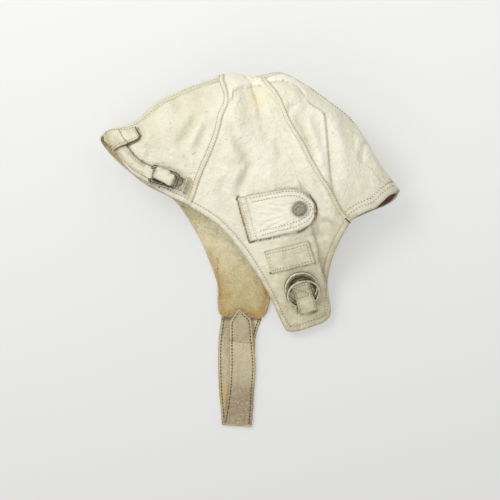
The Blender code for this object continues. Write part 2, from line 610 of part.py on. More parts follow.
def pocket(prefix, near):
    """An ear pocket flap with its sewn hem, snap cap, socket, stud and stud back."""
    top = [spot(s) for s in POCKET_TOP_SHARES]
    low = [spot(s) for s in POCKET_LOW_SHARES]
    snap = spot(SNAP_SHARE)
    if not near:
        moved = turned(np.array(top + low + [snap]), spot(NEAR_POCKET_SHARE), spot(FAR_POCKET_SHARE), FAR_TURN)
        top, low, snap = moved[:len(top)], moved[len(top):-1], moved[-1]
    top, low = np.array(top), np.array(low)
    t = np.linspace(0, 1, 7)[None, :, None]
    hem = polyline(top[:2], 3)[:, None] * (1 - t) + polyline(low[:2], 3)[:, None] * t
    draped(prefix + "_pocket_hem", hem, GAP * 3, HEM_THICK, near, smooth=0)
    reach = np.linalg.norm(snap - (top[1] + low[1]) / 2)
    a, b = polyline(top[1:], 12), polyline(low[1:], 12)
    inward = (a[0] - top[0]) / np.linalg.norm(a[0] - top[0]) * GAP * 2
    a[0] += inward
    b[0] += inward
    flap = a[:, None] * (1 - t) + b[:, None] * t
    hinge_a, hinge_b = top[1], low[1]
    edge = lay(np.array([[hinge_a, hinge_b]]), near)[0]
    across = np.array((-(hinge_b - hinge_a)[1], (hinge_b - hinge_a)[0]))
    across /= np.linalg.norm(across)
    if np.dot(across, snap - hinge_a) < 0:
        across = -across
    away = ((flap - hinge_a) * across).sum(-1)
    rise = GAP * 2 + (POCKET_RISE - GAP * 2) * np.clip(away / reach, 0, 1) ** 0.8
    direction = edge[1] - edge[0]
    direction /= np.linalg.norm(direction)
    sign = 1 if near else -1
    line = lay(np.linspace(hinge_a, hinge_b, 9)[None], near)[0]
    chord = np.linspace(edge[0], edge[1], 9)
    bulge = max(((line - chord)[:, 2] * sign).max(), 0)
    pivot = edge.mean(0) + UP * sign * (bulge + GAP * 4 + POCKET_THICK)
    made, lower, n = draped(prefix + "_pocket_flap", flap, rise, POCKET_THICK, near, pivot=pivot)
    under = skin.ray_cast(Vector((snap[0], snap[1], CAP_THICK * 2 if near else -CAP_THICK)), Vector((0, 0, -sign)))
    origin = np.array(under[0][:])
    near_rows = np.argsort(((lower - origin) ** 2).sum(-1), axis=None)[:4]
    normal = n.reshape(-1, 3)[near_rows].mean(0)
    if not near:
        normal = -UP
    normal /= np.linalg.norm(normal)
    quads = grid_faces(*lower.shape[:2])
    over = BVHTree.FromPolygons([tuple(p) for p in (lower + n * POCKET_THICK).reshape(-1, 3)], quads)
    below = BVHTree.FromPolygons([tuple(p) for p in lower.reshape(-1, 3)], quads)

    def heights_under(tree, radius):
        """The surface's heights above the band under a disc of this radius."""
        side_a = np.cross(normal, (0.0, 1.0, 0.0))
        side_a /= np.linalg.norm(side_a)
        side_b = np.cross(normal, side_a)
        found = []
        for size in (0.0, radius * 0.5, radius):
            for a in np.radians(np.arange(0, 360, 30)):
                start = origin + normal * CAP_THICK + (side_a * math.cos(a) + side_b * math.sin(a)) * size
                hit = tree.ray_cast(Vector(start), Vector(-normal))[0]
                if hit is not None:
                    found.append(float(np.dot(np.array(hit[:]) - origin, normal)))
        return found

    cap_low = max(heights_under(over, SNAP_RADIUS)) + GAP
    flap_height = min(heights_under(below, SOCKET_RADIUS))
    lathe(
        prefix + "_snap_cap",
        [(0, cap_low), (SNAP_RADIUS, cap_low), (SNAP_RADIUS, cap_low + SNAP_RIM), (SNAP_RADIUS * 0.78, cap_low + SNAP_DOME),
         (0, cap_low + SNAP_DOME)],
        origin, normal, NICKEL_TINT, 1.0, pivot,
    )
    socket_top = flap_height - GAP
    lathe(
        prefix + "_snap_socket",
        [(SOCKET_BORE, socket_top), (SOCKET_BORE, socket_top - SOCKET_HEIGHT), (SOCKET_RADIUS, socket_top - SOCKET_HEIGHT),
         (SOCKET_RADIUS, socket_top)],
        origin, normal, NICKEL_TINT, 1.0, pivot,
    )
    around = [
        snap + STUD_BASE_RADIUS * 1.1 * np.array((math.cos(math.radians(a)), math.sin(math.radians(a)))) for a in range(0, 360, 30)
    ]
    heights = ((lay(np.array([around]), near)[0] - origin) * normal).sum(-1)
    base = max(heights.max(), 0) + GAP
    lathe(
        prefix + "_snap_stud",
        [(0, base), (STUD_BASE_RADIUS, base), (STUD_BASE_RADIUS, base + STUD_BASE_HEIGHT), (STUD_POST_RADIUS, base + STUD_BASE_HEIGHT),
         (STUD_POST_RADIUS, base + STUD_POST_HEIGHT), (0, base + STUD_POST_HEIGHT)],
        origin, normal, NICKEL_TINT, 1.0,
    )
    back = min(heights.min(), 0) - LEATHER - GAP * 2
    lathe(
        prefix + "_stud_back",
        [(0, back), (BACK_RADIUS, back), (BACK_RADIUS, back - BACK_THICK), (0, back - BACK_THICK)],
        origin, normal, NICKEL_TINT, 1.0,
    )
    return pivot, direction, origin, normal, cap_low + SNAP_DOME, flap


near_pocket = pocket("near", True)
far_pocket = pocket("far", False)


def sound_holes(centre, near):
    """Seven small holes through the band under a pocket flap."""
    spots = [(0, 0)] + [
        (SOUND_HOLE_PITCH * math.cos(math.radians(60 * k)), SOUND_HOLE_PITCH * math.sin(math.radians(60 * k))) for k in range(6)
    ]
    points, faces = [], []
    middle = lay(np.array([[centre]]), near)[0][0]
    sides = 10
    for dx, dy in spots:
        first = len(points)
        for level in (-SOUND_HOLE_REACH, SOUND_HOLE_REACH):
            for k in range(sides):
                a = 2 * math.pi * k / sides
                points.append((middle[0] + dx + SOUND_HOLE_RADIUS * math.cos(a), middle[1] + dy + SOUND_HOLE_RADIUS * math.sin(a), middle[2] + level))
        for k in range(sides):
            m = (k + 1) % sides
            faces.append((first + k, first + m, first + sides + m, first + sides + k))
        faces.append(tuple(first + sides - 1 - k for k in range(sides)))
        faces.append(tuple(first + sides + k for k in range(sides)))
    cutter = add_object("sound_holes_" + ("near" if near else "far"), points, faces, NICKEL_TINT)
    parts.objects.unlink(cutter)
    helpers.objects.link(cutter)
    cutter.hide_render = True
    cutter.display_type = "WIRE"
    cut = bpy.data.objects["crown_band"].modifiers.new("holes", "BOOLEAN")
    cut.operation = "DIFFERENCE"
    cut.solver = "EXACT"
    cut.object = cutter


sound_holes(spot(NEAR_POCKET_SHARE), True)
sound_holes(spot(FAR_POCKET_SHARE), False)

# The reinforcement patches on the ear flaps.
patch_flat = between(PATCH_LEFT_SHARES, PATCH_RIGHT_SHARES, 6, 9)
draped("near_patch", patch_flat, GAP * 2, PATCH_THICK, True, smooth=0, pivot=near_flap_axis[0])
far_patch_flat = turned(patch_flat, spot(NEAR_PATCH_SHARE), spot(FAR_PATCH_SHARE), FAR_TURN)
draped("far_patch", far_patch_flat, GAP * 2, min(PATCH_THICK, FLOOR - GAP), False, smooth=0, pivot=far_flap_axis[0])

# The ring tab: one leather strip folded round the two rings.
tab_top, tab_fold = spot(TAB_TOP_SHARE), spot(TAB_FOLD_SHARE)
tab_along = tab_fold - tab_top
tab_length = np.linalg.norm(tab_along)
tab_along /= tab_length
tab_side = np.array((-tab_along[1], tab_along[0]))
tab_rows = np.linspace(0, 1, 9)
tab_cols = np.linspace(-0.5, 0.5, 5)
tab_flat = tab_top + tab_rows[:, None, None] * tab_along * tab_length + tab_cols[None, :, None] * tab_side * TAB_WIDTH
tab_on = lay(tab_flat, True)
tab_on[..., 2] = smooth_grid(tab_on[..., 2], 3)
tab_n = grid_normals(tab_on, UP).mean((0, 1))
tab_n /= np.linalg.norm(tab_n)
tab_s = np.array((*tab_side, 0.0))
tab_s -= tab_n * np.dot(tab_s, tab_n)
tab_s /= np.linalg.norm(tab_s)
tab_a = np.cross(tab_n, tab_s)
if tab_a[0] * tab_along[0] + tab_a[1] * tab_along[1] < 0:
    tab_a = -tab_a
tab_origin = tab_on[0].mean(0)
tab_base = max(((tab_on - tab_origin) * tab_n).sum(-1).max(), 0) + GAP
tab_half = (TAB_CAVITY + TAB_LAYER * 2) / 2


def tab_profile(inner):
    """The folded strip's side view, as places along the tab and above the flap."""
    middle = tab_base + tab_half
    big = tab_half - (TAB_LAYER if inner else 0)
    nose = tab_half * TAB_NOSE_SHARE - (TAB_LAYER if inner else 0)
    end = tab_length - tab_half * TAB_NOSE_SHARE
    rows = [(0.0, middle - big)]
    if inner:
        rows = [(tab_length * 0.30, middle - big)]
    rows += [(tab_length * s, middle - big) for s in (0.45, 0.6)]
    for angle in np.radians(np.arange(0, 181, 30)):
        rise = abs(math.cos(angle)) ** TAB_NOSE_POWER_SHARE * math.copysign(1, math.cos(angle))
        rows.append((end + nose * math.sin(angle), middle - big * rise))
    rows += [(tab_length * s, middle + big) for s in (0.6, 0.5)]
    close = tab_base + TAB_LAYER + (0 if inner else TAB_LAYER)
    rows += [(tab_length * 0.32, close), (0.0, close)] if not inner else [(tab_length * 0.36, close)]
    return rows


def extruded(name, loop, width, place, tint, metal=0.0, pivot=None):
    """A closed side view carried across a width, as one body."""
    count = len(loop)
    points = [place(a, h, side) for side in (-width / 2, width / 2) for a, h in loop]
    faces = [tuple(range(count)), tuple(reversed(range(count, 2 * count)))]
    faces += [(k, (k + 1) % count, (k + 1) % count + count, k + count) for k in range(count)]
    return add_object(name, points, faces, tint, metal, pivot)


def tab_place(a, h, side):
    return tab_origin + tab_a * a + tab_n * h + tab_s * side


tab_outer, tab_inner = tab_profile(False), tab_profile(True)


def split_extrusion(name, outer, inner, width, place, tint, pivot=None):
    """A strip that encloses a cavity: the outer and inner side views are joined by one slit-free ring of faces."""
    count_o, count_i = len(outer), len(inner)
    points = []
    for side_at in (-width / 2, width / 2):
        points += [place(a, h, side_at) for a, h in outer]
        points += [place(a, h, side_at) for a, h in inner]
    total = count_o + count_i
    body = bmesh.new()
    verts = [body.verts.new(p) for p in points]
    for k in range(count_o):
        m = (k + 1) % count_o
        body.faces.new((verts[k], verts[m], verts[total + m], verts[total + k]))
    for k in range(count_i):
        m = (k + 1) % count_i
        body.faces.new((verts[count_o + m], verts[count_o + k], verts[total + count_o + k], verts[total + count_o + m]))
    for base in (0, total):
        loops = [verts[base + k] for k in range(count_o)], [verts[base + count_o + k] for k in range(count_i)]
        edges = []
        for loop in loops:
            for p, q in zip(loop, loop[1:] + loop[:1]):
                edges.append(body.edges.get((p, q)) or body.edges.new((p, q)))
        bmesh.ops.triangle_fill(body, use_beauty=True, use_dissolve=False, edges=edges)
    bmesh.ops.remove_doubles(body, verts=body.verts, dist=1e-7)
    bmesh.ops.recalc_face_normals(body, faces=body.faces)
    body.verts.index_update()
    coords = [v.co[:] for v in body.verts]
    polygons = [[v.index for v in f.verts] for f in body.faces]
    body.free()
    return add_object(name, coords, polygons, tint, 0.0, pivot)


split_extrusion("ring_tab", tab_outer, tab_inner, TAB_WIDTH, tab_place, LEATHER_TINT, near_flap_axis[0])


def torus(name, centre, x_axis, y_axis, radius, wire, tint, pivot, around=36, sides=WIRE_SIDES):
    x_axis, y_axis = np.array(x_axis), np.array(y_axis)
    up = np.cross(x_axis, y_axis)
    points, faces = [], []
    for k in range(around):
        a = 2 * math.pi * k / around
        out = x_axis * math.cos(a) + y_axis * math.sin(a)
        for j in range(sides):
            b = 2 * math.pi * j / sides
            points.append(centre + out * (radius + wire * math.cos(b)) + up * wire * math.sin(b))
    for k in range(around):
        for j in range(sides):
            m, q = (k + 1) % around, (j + 1) % sides
            faces.append((k * sides + j, m * sides + j, m * sides + q, k * sides + q))
    return add_object(name, points, faces, tint, 1.0, pivot)


def ring(name, along, height, lean, pivot=None):
    """A ring whose wire passes through the tab near its fold and that lies back over the tab, leaning off the flap."""
    hold = tab_origin + tab_a * along + tab_n * (tab_base + height)
    axis = np.cross(tab_n, -tab_a)
    if axis[0] < 0:
        axis = -axis
    toward = tab_n * math.sin(lean) - tab_a * math.cos(lean)
    centre = hold + toward * RING_RADIUS
    torus(name, centre, axis, toward, RING_RADIUS, RING_WIRE, NICKEL_TINT, hold if pivot is None else pivot)
    return hold, axis


# The two wires lie side by side in the tab, the upper one nearer the fold, and the lower ring turns about the line
# midway between them, so that it lifts the upper one with it.
ring_step = RING_WIRE * 2 + RING_CLEAR
step_along, step_up = ring_step * math.cos(RING_STACK_ANGLE), ring_step * math.sin(RING_STACK_ANGLE)
pair_along, pair_up = tab_length * RING_PAIR_SHARE, TAB_LAYER + RING_WIRE + RING_CLEAR + step_up / 2
pair_pivot = tab_origin + tab_a * pair_along + tab_n * (tab_base + pair_up)
low_hold, low_axis = ring("ring_lower", pair_along - step_along / 2, pair_up - step_up / 2, LOWER_RING_LEAN, pair_pivot)
ring_low = (pair_pivot, low_axis)
ring_high = ring("ring_upper", pair_along + step_along / 2, pair_up + step_up / 2, UPPER_RING_LEAN)

# The chin strap: its root sewn under the far flap, the strap with its bend, and the end folded back over it.
strap_top = FLOOR


def strap_points(left, right, rows, cols, heights):
    flat = between(left, right, rows, cols)
    z = np.broadcast_to(np.asarray(heights, float)[:, None], flat.shape[:2])
    return np.concatenate([flat, z[..., None]], -1)


far_skin_low = lay(between(ROOT_LEFT_SHARES, ROOT_RIGHT_SHARES, 3, 5), False)[..., 2].min()
root_thick = far_skin_low - GAP
root = strap_points(ROOT_LEFT_SHARES, ROOT_RIGHT_SHARES, 3, 5, [0.0] * 3)
closed_sheet("chin_strap_root", root + UP * root_thick, root, LEATHER_TINT, far_flap_axis[0])
swing_left, swing_right = spot(STRAP_LEFT_SHARES[0]), spot(STRAP_RIGHT_SHARES[0])
swing_pivot = np.array((*((swing_left + swing_right) / 2), STRAP_THICK + GAP))
swing_axis = np.array((*(swing_left - swing_right), 0.0))
swing_axis /= np.linalg.norm(swing_axis)
rows_under = strap_points(STRAP_LEFT_SHARES, STRAP_RIGHT_SHARES, 14, 5, [0.0] * 14)
bend_radius = STRAP_THICK + STRAP_BEND_CLEAR / 2
fold_left, fold_right = spot(STRAP_LEFT_SHARES[-1]), spot(STRAP_RIGHT_SHARES[-1])
fold_along = (fold_right - fold_left) / np.linalg.norm(fold_right - fold_left)
fold_out = np.array((fold_along[1], -fold_along[0]))
if fold_out[1] > 0:
    fold_out = -fold_out
bend_outer, bend_inner = [], []
for angle in np.radians(np.arange(22.5, 181, 22.5)):
    for rows, radius in ((bend_outer, bend_radius), (bend_inner, STRAP_BEND_CLEAR / 2)):
        push = fold_out * radius * math.sin(angle)
        rows.append([
            (*(fold_left + (fold_right - fold_left) * k + push), bend_radius - radius * math.cos(angle))
            for k in np.linspace(0, 1, 5)
        ])
outer_rows = np.concatenate([rows_under, np.array(bend_outer)])
inner_rows = np.concatenate([rows_under + UP * STRAP_THICK, np.array(bend_inner)])
closed_sheet("chin_strap", outer_rows, inner_rows, LEATHER_TINT, swing_pivot)
end_rows = 18
end_share = np.linspace(0, 1, end_rows)
end_low = STRAP_THICK + STRAP_BEND_CLEAR + (STRAP_END_RISE - STRAP_THICK - STRAP_BEND_CLEAR) * np.clip((end_share - 0.45) / 0.55, 0, 1) ** 1.6
end_grid = strap_points(END_LEFT_SHARES, END_RIGHT_SHARES, end_rows, 5, end_low)
end_grid[0, :, :2] -= fold_out * GAP
end_pivot = np.array((*((fold_left + fold_right) / 2), STRAP_THICK * 2 + STRAP_BEND_CLEAR + GAP / 2))
end_axis = np.array((*fold_along, 0.0))
closed_sheet("chin_strap_end", end_grid + UP * STRAP_THICK, end_grid, LEATHER_TINT, end_pivot)

# The nape strap and its buckle.
path = polyline([spot(s) for s in NAPE_PATH_SHARES], 200)
seam_line = shell(np.full(200, float(SEAM_A)), np.linspace(0, CREST_ANGLE, 200))[:, :2]
to_seam = np.linalg.norm(path[:, None] - seam_line[None], axis=2).min(1)
path = path[to_seam > REAR_STRIP_WIDTH / 2 + TIP_LENGTH + TIP_SEAM_CLEAR]
path = polyline(path[np.linspace(0, len(path) - 1, 10).astype(int)], 22)
tangent = np.gradient(path, axis=0)
tangent /= np.linalg.norm(tangent, axis=1, keepdims=True)
sideways = np.stack([-tangent[:, 1], tangent[:, 0]], 1)
cols = np.linspace(-0.5, 0.5, 5)[None, :, None]
strap_flat = path[:, None] + sideways[:, None] * cols * NAPE_STRAP_WIDTH
strap_made, strap_low, strap_n = draped("nape_strap", strap_flat, GAP * 3, NAPE_STRAP_THICK, True, smooth=2, least=KEEPER_LEAST)
strap_tree = BVHTree.FromPolygons(
    [tuple(p) for p in (strap_low + strap_n * NAPE_STRAP_THICK).reshape(-1, 3)], grid_faces(*strap_low.shape[:2])
)
at, ahead = spot(BUCKLE_SHARE), spot(BUCKLE_AHEAD_SHARE)
buckle_origin = np.array(strap_tree.ray_cast(Vector((*at, CAP_THICK * 2)), Vector((0, 0, -1)))[0][:])
near_rows = np.argsort(((strap_low - buckle_origin) ** 2).sum(-1), axis=None)[:12]
buckle_n = strap_n.reshape(-1, 3)[near_rows].mean(0)
buckle_n /= np.linalg.norm(buckle_n)
buckle_a = np.array((*(ahead - at), 0.0))
buckle_a -= buckle_n * np.dot(buckle_a, buckle_n)
buckle_a /= np.linalg.norm(buckle_a)
buckle_s = np.cross(buckle_n, buckle_a)
span = (np.abs(((strap_low - buckle_origin) @ buckle_a)) < FRAME_LENGTH * 0.62)
strap_rise = max((((strap_low + strap_n * NAPE_STRAP_THICK - buckle_origin) @ buckle_n)[span]).max(), 0)
loop_outer = FRAME_WIRE + GAP + LOOP_WRAP
bar_height = strap_rise + GAP + loop_outer


def buckle_place(a, h, side):
    return buckle_origin + buckle_a * a + buckle_n * h + buckle_s * side


def rounded_box(length, width, corner, steps=3):
    """A rounded rectangle's outline, once round."""
    points = []
    for cx, cy, first in ((1, 1, 0), (-1, 1, 90), (-1, -1, 180), (1, -1, 270)):
        for k in range(steps + 1):
            a = math.radians(first + 90 * k / steps)
            points.append((cx * (length / 2 - corner) + corner * math.cos(a), cy * (width / 2 - corner) + corner * math.sin(a)))
    return points


def wire(name, path_points, radius, tint, loop, pivot, sides=WIRE_SIDES, metal=1.0):
    """A round wire along 3D points, closed or with flat ends."""
    path_points = np.array(path_points)
    count = len(path_points)
    if loop:
        ahead_points, behind = np.roll(path_points, -1, 0), np.roll(path_points, 1, 0)
        direction = ahead_points - behind
    else:
        direction = np.gradient(path_points, axis=0)
    direction /= np.linalg.norm(direction, axis=1, keepdims=True)
    points, faces = [], []
    for p, d in zip(path_points, direction):
        first = buckle_n - d * np.dot(buckle_n, d)
        if np.linalg.norm(first) < 0.1:
            first = buckle_a - d * np.dot(buckle_a, d)
        first /= np.linalg.norm(first)
        second = np.cross(d, first)
        for j in range(sides):
            b = 2 * math.pi * (j + 0.5) / sides
            points.append(p + (first * math.cos(b) + second * math.sin(b)) * radius)
    for k in range(count if loop else count - 1):
        m = (k + 1) % count
        for j in range(sides):
            q = (j + 1) % sides
            faces.append((k * sides + j, m * sides + j, m * sides + q, k * sides + q))
    if not loop:
        faces.append(tuple(range(sides)))
        faces.append(tuple(reversed(range((count - 1) * sides, count * sides))))
    return add_object(name, points, faces, tint, metal, pivot)


frame_half = FRAME_LENGTH / 2
hinge_buckle = buckle_place(-frame_half, bar_height, 0)
frame_path = [buckle_place(a, bar_height, s) for a, s in rounded_box(FRAME_LENGTH, FRAME_WIDTH, FRAME_CORNER)]
wire("buckle_frame", frame_path, FRAME_WIRE, NICKEL_TINT, True, hinge_buckle)
bar_reach = FRAME_WIDTH / 2 - FRAME_WIRE - GAP
wire("buckle_bar", [buckle_place(0, bar_height, s) for s in (-bar_reach, 0, bar_reach)], BAR_WIRE, NICKEL_TINT, False, hinge_buckle)
cover_low = FRAME_WIRE + GAP
cover_rows = (
    (-frame_half + loop_outer + GAP, loop_outer), (-frame_half + loop_outer * 2, cover_low + GAP * 2), (-frame_half * 0.45, cover_low + GAP),
    (0.0, cover_low), (frame_half - COVER_END, cover_low),
)
cover_loop = [(a, bar_height + h) for a, h in cover_rows] + [(a, bar_height + h + COVER_THICK) for a, h in reversed(cover_rows)]
extruded("buckle_cover", cover_loop, COVER_WIDTH, lambda a, h, s: buckle_place(a, h, s + COVER_OFFSET), LEATHER_TINT, 0.0, hinge_buckle)
# The strap's own end, wrapped round the frame's rear bar.
inner_r = FRAME_WIRE + GAP
tail = frame_half + FRAME_WIRE * 7
wrap = []
for a in range(-90, 91, 30):
    wrap.append((-frame_half + loop_outer * math.cos(math.radians(a)), bar_height + loop_outer * math.sin(math.radians(a))))
loop_line = [(-tail, bar_height - loop_outer)] + wrap + [(-frame_half - FRAME_WIRE * 2, bar_height + loop_outer * 0.92), (-tail, bar_height - loop_outer + LOOP_WRAP * 1.4)]
hole = [(-frame_half + inner_r * math.cos(math.radians(a)), bar_height + inner_r * math.sin(math.radians(a))) for a in range(0, 360, 30)]
split_extrusion("strap_loop", loop_line, hole, LOOP_WIDTH, buckle_place, LEATHER_TINT)
bail_start = frame_half + FRAME_WIRE + GAP
bail_side = FRAME_WIDTH / 2 - FRAME_CORNER
bail_path = [(bail_start, bail_side), (bail_start + BAIL_LENGTH * 0.5, bail_side * 0.96), (bail_start + BAIL_LENGTH * 0.9, bail_side * 0.7), (bail_start + BAIL_LENGTH, bail_side * 0.3)]
bail_path += [(a, -s) for a, s in reversed(bail_path)]
hinge_bail = buckle_place(frame_half, bar_height, 0)
wire("buckle_bail", [buckle_place(a, bar_height, s) for a, s in bail_path], BAIL_WIRE, NICKEL_TINT, False, hinge_bail)
# The metal tip clipped over the strap's end.
tip_at = strap_low[-1].mean(0)
tip_n = strap_n[-1].mean(0)
tip_n /= np.linalg.norm(tip_n)
tip_a = strap_low[-1].mean(0) - strap_low[-2].mean(0)
tip_a /= np.linalg.norm(tip_a)
tip_n -= tip_a * np.dot(tip_n, tip_a)
tip_n /= np.linalg.norm(tip_n)
tip_s = np.cross(tip_n, tip_a)
tip_low = 0.0
tip_start = GAP
tip_profile = [(tip_start, tip_low), (tip_start + TIP_LENGTH * 0.8, tip_low), (tip_start + TIP_LENGTH, tip_low + TIP_THICK * 0.3),
               (tip_start + TIP_LENGTH, tip_low + TIP_THICK * 0.6), (tip_start + TIP_LENGTH * 0.7, tip_low + TIP_THICK * 0.8),
               (tip_start, tip_low + TIP_THICK * 0.7)]
extruded("strap_tip", tip_profile, TIP_WIDTH, lambda a, h, s: tip_at + tip_a * a + tip_n * h + tip_s * s, NICKEL_TINT, 1.0)

# The nape keeper, a strip bridging over the strap's start.
keeper_flat = between(KEEPER_LEFT_SHARES, KEEPER_RIGHT_SHARES, 9, 6)
share_across = np.linspace(0, 1, 6)[None, :]
share_along = np.linspace(0, 1, 9)[:, None]
keeper_lift = GAP * 2 + (NAPE_STRAP_THICK + GAP * 4) * np.clip(share_across * 2.2, 0, 1) * np.clip((1 - share_along) * 3.2, 0, 1)
draped("nape_keeper", keeper_flat, keeper_lift, KEEPER_THICK, True, smooth=1, least=KEEPER_LEAST)

# The cap's low middle becomes the origin.
low, high = np.full(3, np.inf), np.full(3, -np.inf)
for made in parts.objects:
    corners = np.array([tuple(v.co + made.location) for v in made.data.vertices])
    print(made.name, corners.min(0).round(4), corners.max(0).round(4), len(made.data.polygons))
    low, high = np.minimum(low, corners.min(0)), np.maximum(high, corners.max(0))
shift = Vector((-(low[0] + high[0]) / 2, -(low[1] + high[1]) / 2, -low[2]))
for made in list(parts.objects) + list(helpers.objects):
    made.location = made.location + shift


def report_line(label, point, axis=None):
    values = [round(float(a + b), 5) for a, b in zip(point, shift)]
    print(label, values, [] if axis is None else [round(float(a), 5) for a in axis])


report_line("near_flap", *near_flap_axis)
report_line("far_flap", *far_flap_axis)
report_line("near_pocket", near_pocket[0], near_pocket[1])
report_line("far_pocket", far_pocket[0], far_pocket[1])
report_line("ring_lower", *ring_low)
report_line("ring_upper", *ring_high)
report_line("chin_swing", swing_pivot, swing_axis)
report_line("chin_end", end_pivot, end_axis)
report_line("buckle", hinge_buckle, buckle_s)
report_line("bail", hinge_bail, buckle_s)
report_line("far snap face", far_pocket[2] + far_pocket[3] * far_pocket[4], far_pocket[3])
report_line("rear rest", rear_rest)
report_line("front rest", front_rest)
report_line("low corner", low)
report_line("high corner", high)
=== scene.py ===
import json
import math

import bmesh
import bpy
import numpy as np
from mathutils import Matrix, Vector, noise
from mathutils.bvhtree import BVHTree

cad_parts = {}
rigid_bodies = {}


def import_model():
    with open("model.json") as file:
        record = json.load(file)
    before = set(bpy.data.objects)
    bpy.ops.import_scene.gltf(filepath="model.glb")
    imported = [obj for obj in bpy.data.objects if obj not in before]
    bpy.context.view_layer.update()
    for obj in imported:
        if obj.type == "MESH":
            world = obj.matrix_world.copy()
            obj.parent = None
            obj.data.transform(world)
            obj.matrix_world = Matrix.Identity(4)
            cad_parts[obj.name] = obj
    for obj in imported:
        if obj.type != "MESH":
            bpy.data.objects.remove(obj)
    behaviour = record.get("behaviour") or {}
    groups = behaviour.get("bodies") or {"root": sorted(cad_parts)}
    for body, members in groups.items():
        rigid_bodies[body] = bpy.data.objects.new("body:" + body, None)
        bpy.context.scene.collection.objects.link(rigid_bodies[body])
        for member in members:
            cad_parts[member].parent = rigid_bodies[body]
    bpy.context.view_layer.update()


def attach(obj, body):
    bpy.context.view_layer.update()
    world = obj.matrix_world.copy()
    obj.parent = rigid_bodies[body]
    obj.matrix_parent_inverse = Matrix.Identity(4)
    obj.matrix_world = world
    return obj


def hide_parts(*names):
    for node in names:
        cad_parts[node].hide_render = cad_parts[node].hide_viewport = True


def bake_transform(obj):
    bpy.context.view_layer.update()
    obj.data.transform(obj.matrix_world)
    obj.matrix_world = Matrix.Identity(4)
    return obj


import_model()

# The table is a level pale sheet that the cap lies on. Two broad soft lamps stand on the nape's side, the
# stronger one towards the crown, with an even pale room round them. The camera looks straight down through a
# long lens.
VIEW_WIDTH = 0.45
VIEW_CENTRE = (0.0003, 0.0006)
CAMERA_HEIGHT = 5.0
CAMERA_SENSOR = 36.0
CAMERA_REACH = 60.0
TABLE_SIZE = 6.0
TABLE_DROP = 0.0004
TABLE_TINT = (0.78, 0.78, 0.765)
TABLE_CLOUD = 0.985
TABLE_GLOW = 0.55
TABLE_DIM, TABLE_BRIGHT = (0.66, 0.66, 0.65), (0.94, 0.94, 0.935)
TABLE_DIM_END, TABLE_BRIGHT_END = -0.235, 0.235
ROOM_TINT = (1.0, 0.995, 0.985)
ROOM_LEVEL = 0.74
KEY_POWER, KEY_SIZE, KEY_PLACE = 8.0, 0.7, (-0.62, 0.62, 1.1)
FILL_POWER, FILL_SIZE, FILL_PLACE = 2.6, 0.8, (-0.65, -0.75, 1.1)

scene = bpy.context.scene
scene.view_settings.view_transform = "Standard"
camera = bpy.data.objects.new("camera", bpy.data.cameras.new("camera"))
scene.collection.objects.link(camera)
camera.location = (*VIEW_CENTRE, CAMERA_HEIGHT)
camera.data.sensor_width = CAMERA_SENSOR
camera.data.lens = CAMERA_SENSOR * CAMERA_HEIGHT / VIEW_WIDTH
camera.data.clip_end = CAMERA_REACH
scene.camera = camera

room = bpy.data.worlds.new("room")
scene.world = room
room.use_nodes = True
room_light = room.node_tree.nodes["Background"]
room_light.inputs["Color"].default_value = (*ROOM_TINT, 1)
room_light.inputs["Strength"].default_value = ROOM_LEVEL


def soft_lamp(name, power, size, place):
    lamp = bpy.data.objects.new(name, bpy.data.lights.new(name, "AREA"))
    lamp.data.energy = power
    lamp.data.shape = "DISK"
    lamp.data.size = size
    lamp.location = place
    lamp.rotation_mode = "QUATERNION"
    lamp.rotation_quaternion = (-Vector(place)).to_track_quat("-Z", "Y")
    scene.collection.objects.link(lamp)


soft_lamp("key_light", KEY_POWER, KEY_SIZE, KEY_PLACE)
soft_lamp("fill_light", FILL_POWER, FILL_SIZE, FILL_PLACE)


